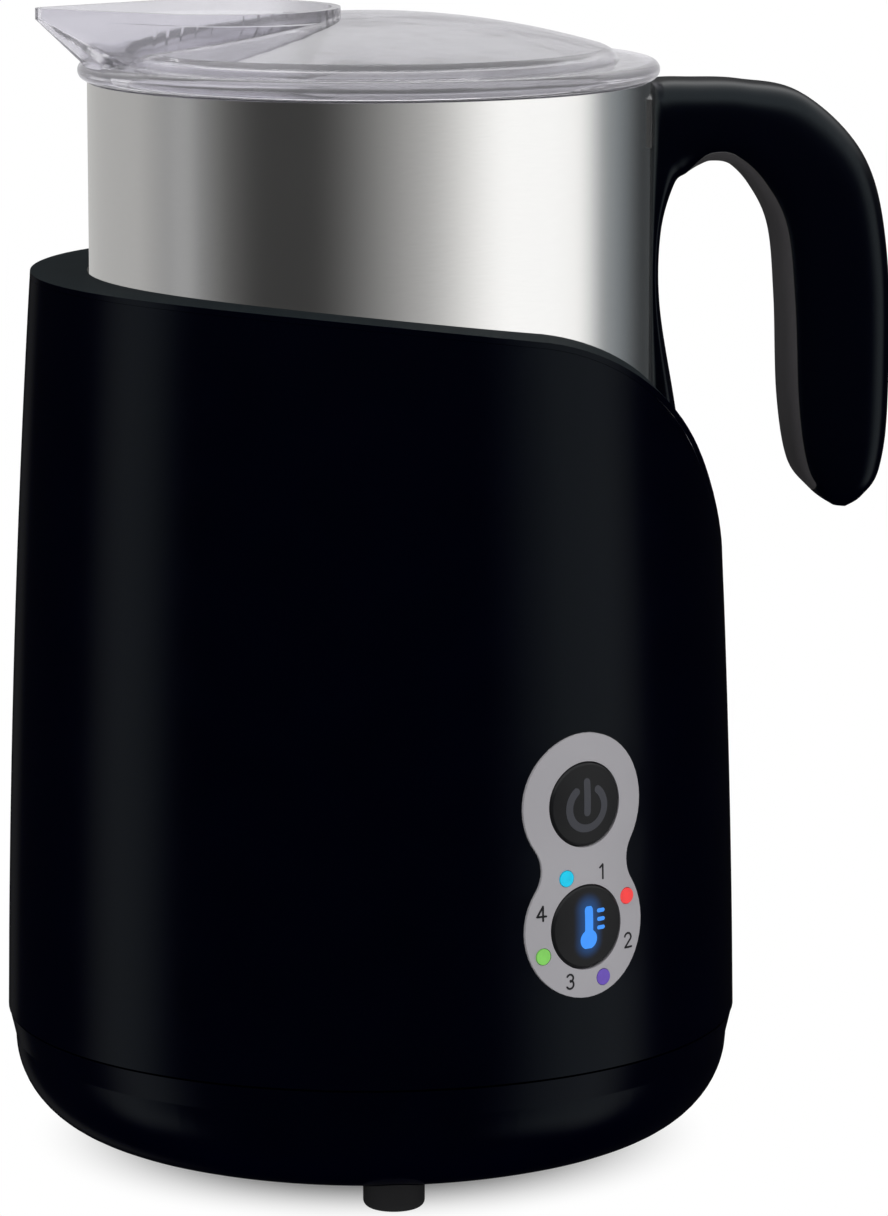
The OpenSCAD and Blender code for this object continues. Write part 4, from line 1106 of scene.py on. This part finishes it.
def floor_paint():
    """White floor that turns to plain white away from the object, past its shadow."""
    s = paint("floor_white")
    x, y = s.split(s.place())[:2]
    far = ((x - AXIS.x) ** 2 + y ** 2) ** 0.5
    blend = s.smooth(far, *FLOOR_FADE)
    lit = s.node("ShaderNodeBsdfDiffuse", None, {"Color": (0.97, 0.97, 0.97)})
    white = s.node("ShaderNodeEmission", None, {"Color": (1, 1, 1), "Strength": 1.0})
    made = s.node("ShaderNodeMixShader", None, {0: blend, 1: lit.outputs[0], 2: white.outputs[0]})
    return s.output(made.outputs[0])


def soft_lamp(name, place, target, size, power):
    """Square soft lamp aimed at a point."""
    data = bpy.data.lights.new(name, "AREA")
    data.size = size
    data.energy = power
    made = bpy.data.objects.new(name, data)
    made.location = place
    made.rotation_euler = (Vector(target) - Vector(place)).to_track_quat("-Z", "Y").to_euler()
    made.visible_glossy = False
    bpy.context.scene.collection.objects.link(made)
    return made


class FROTHER_OT_stage(bpy.types.Operator):
    """Set up the floor, lamps, world and camera"""

    bl_idname = "frother.stage"
    bl_label = "Stage"

    def execute(self, context):
        scene = context.scene
        stage = scene.frother_stage
        scene.view_settings.view_transform = "Standard"
        scene.world = studio(stage)
        scene.world.cycles.sampling_method = "NONE"
        screen(stage, "steel_screen", ("jug_shell",), stage.screen_radius, STEEL_GLOW, STEEL_BOXES,
               STEEL_TONES)
        screen(stage, "lid_screen", ("lid",), stage.screen_radius * LID_SCREEN, LID_GLOW, LID_BOXES,
               LID_TONES)

        work = bmesh.new()
        bmesh.ops.create_circle(work, cap_ends=True, radius=stage.floor_radius, segments=96)
        bmesh.ops.translate(work, verts=work.verts, vec=AXIS - UP * 0.05 * MM)
        floor = to_object(work, "floor", floor_paint())
        floor.visible_glossy = False

        for name, place, size, power in LAMPS:
            soft_lamp(name, AXIS + Vector(place), AIM, size, getattr(stage, power))

        turn, yaw, pitch = stage.camera_turn, stage.camera_yaw, stage.camera_pitch
        front = Vector((-math.sin(turn), -math.cos(turn), 0))
        facing = yaw + turn
        look = Vector((math.sin(facing) * math.cos(pitch),
                       math.cos(facing) * math.cos(pitch), -math.sin(pitch)))
        data = bpy.data.cameras.new("camera")
        data.lens = stage.lens
        data.clip_start, data.clip_end = 0.05, 20
        camera = bpy.data.objects.new("camera", data)
        camera.location = AXIS + front * stage.camera_distance + UP * stage.camera_height
        camera.rotation_euler = look.to_track_quat("-Z", "Y").to_euler()
        scene.collection.objects.link(camera)
        scene.camera = camera
        return {"FINISHED"}


class FROTHER_PT_looks(bpy.types.Panel):
    """Sidebar panel with the looks' operators and settings"""

    bl_label = "Milk Frother"
    bl_idname = "FROTHER_PT_looks"
    bl_space_type = "VIEW_3D"
    bl_region_type = "UI"
    bl_category = "Frother"

    def draw(self, context):
        layout = self.layout
        for operator in OPERATORS:
            layout.operator(operator.bl_idname)
        for key in GROUPS:
            group = getattr(context.scene, key)
            box = layout.box()
            for name in group.bl_rna.properties.keys():
                if name not in ("name", "rna_type"):
                    box.prop(group, name)


OPERATORS = (
    FROTHER_OT_base_unit,
    FROTHER_OT_control_panel,
    FROTHER_OT_electronics,
    FROTHER_OT_drive,
    FROTHER_OT_jug,
    FROTHER_OT_whisk,
    FROTHER_OT_lid,
    FROTHER_OT_stage,
)
GROUPS = {
    "frother_finish": FrotherFinish,
    "frother_print": FrotherPrint,
    "frother_handle": FrotherHandle,
    "frother_stage": FrotherStage,
}


def register():
    for made in (*GROUPS.values(), *OPERATORS, FROTHER_PT_looks):
        bpy.utils.register_class(made)
    for name, group in GROUPS.items():
        setattr(bpy.types.Scene, name, PointerProperty(type=group))


def unregister():
    for name in GROUPS:
        delattr(bpy.types.Scene, name)
    for made in (FROTHER_PT_looks, *reversed(OPERATORS), *reversed(GROUPS.values())):
        bpy.utils.unregister_class(made)


def main():
    register()
    bpy.ops.frother.base_unit()
    bpy.ops.frother.control_panel()
    bpy.ops.frother.electronics()
    bpy.ops.frother.drive()
    bpy.ops.frother.jug()
    bpy.ops.frother.whisk()
    bpy.ops.frother.lid()
    bpy.ops.frother.stage()


if __name__ == "__main__":
    main()
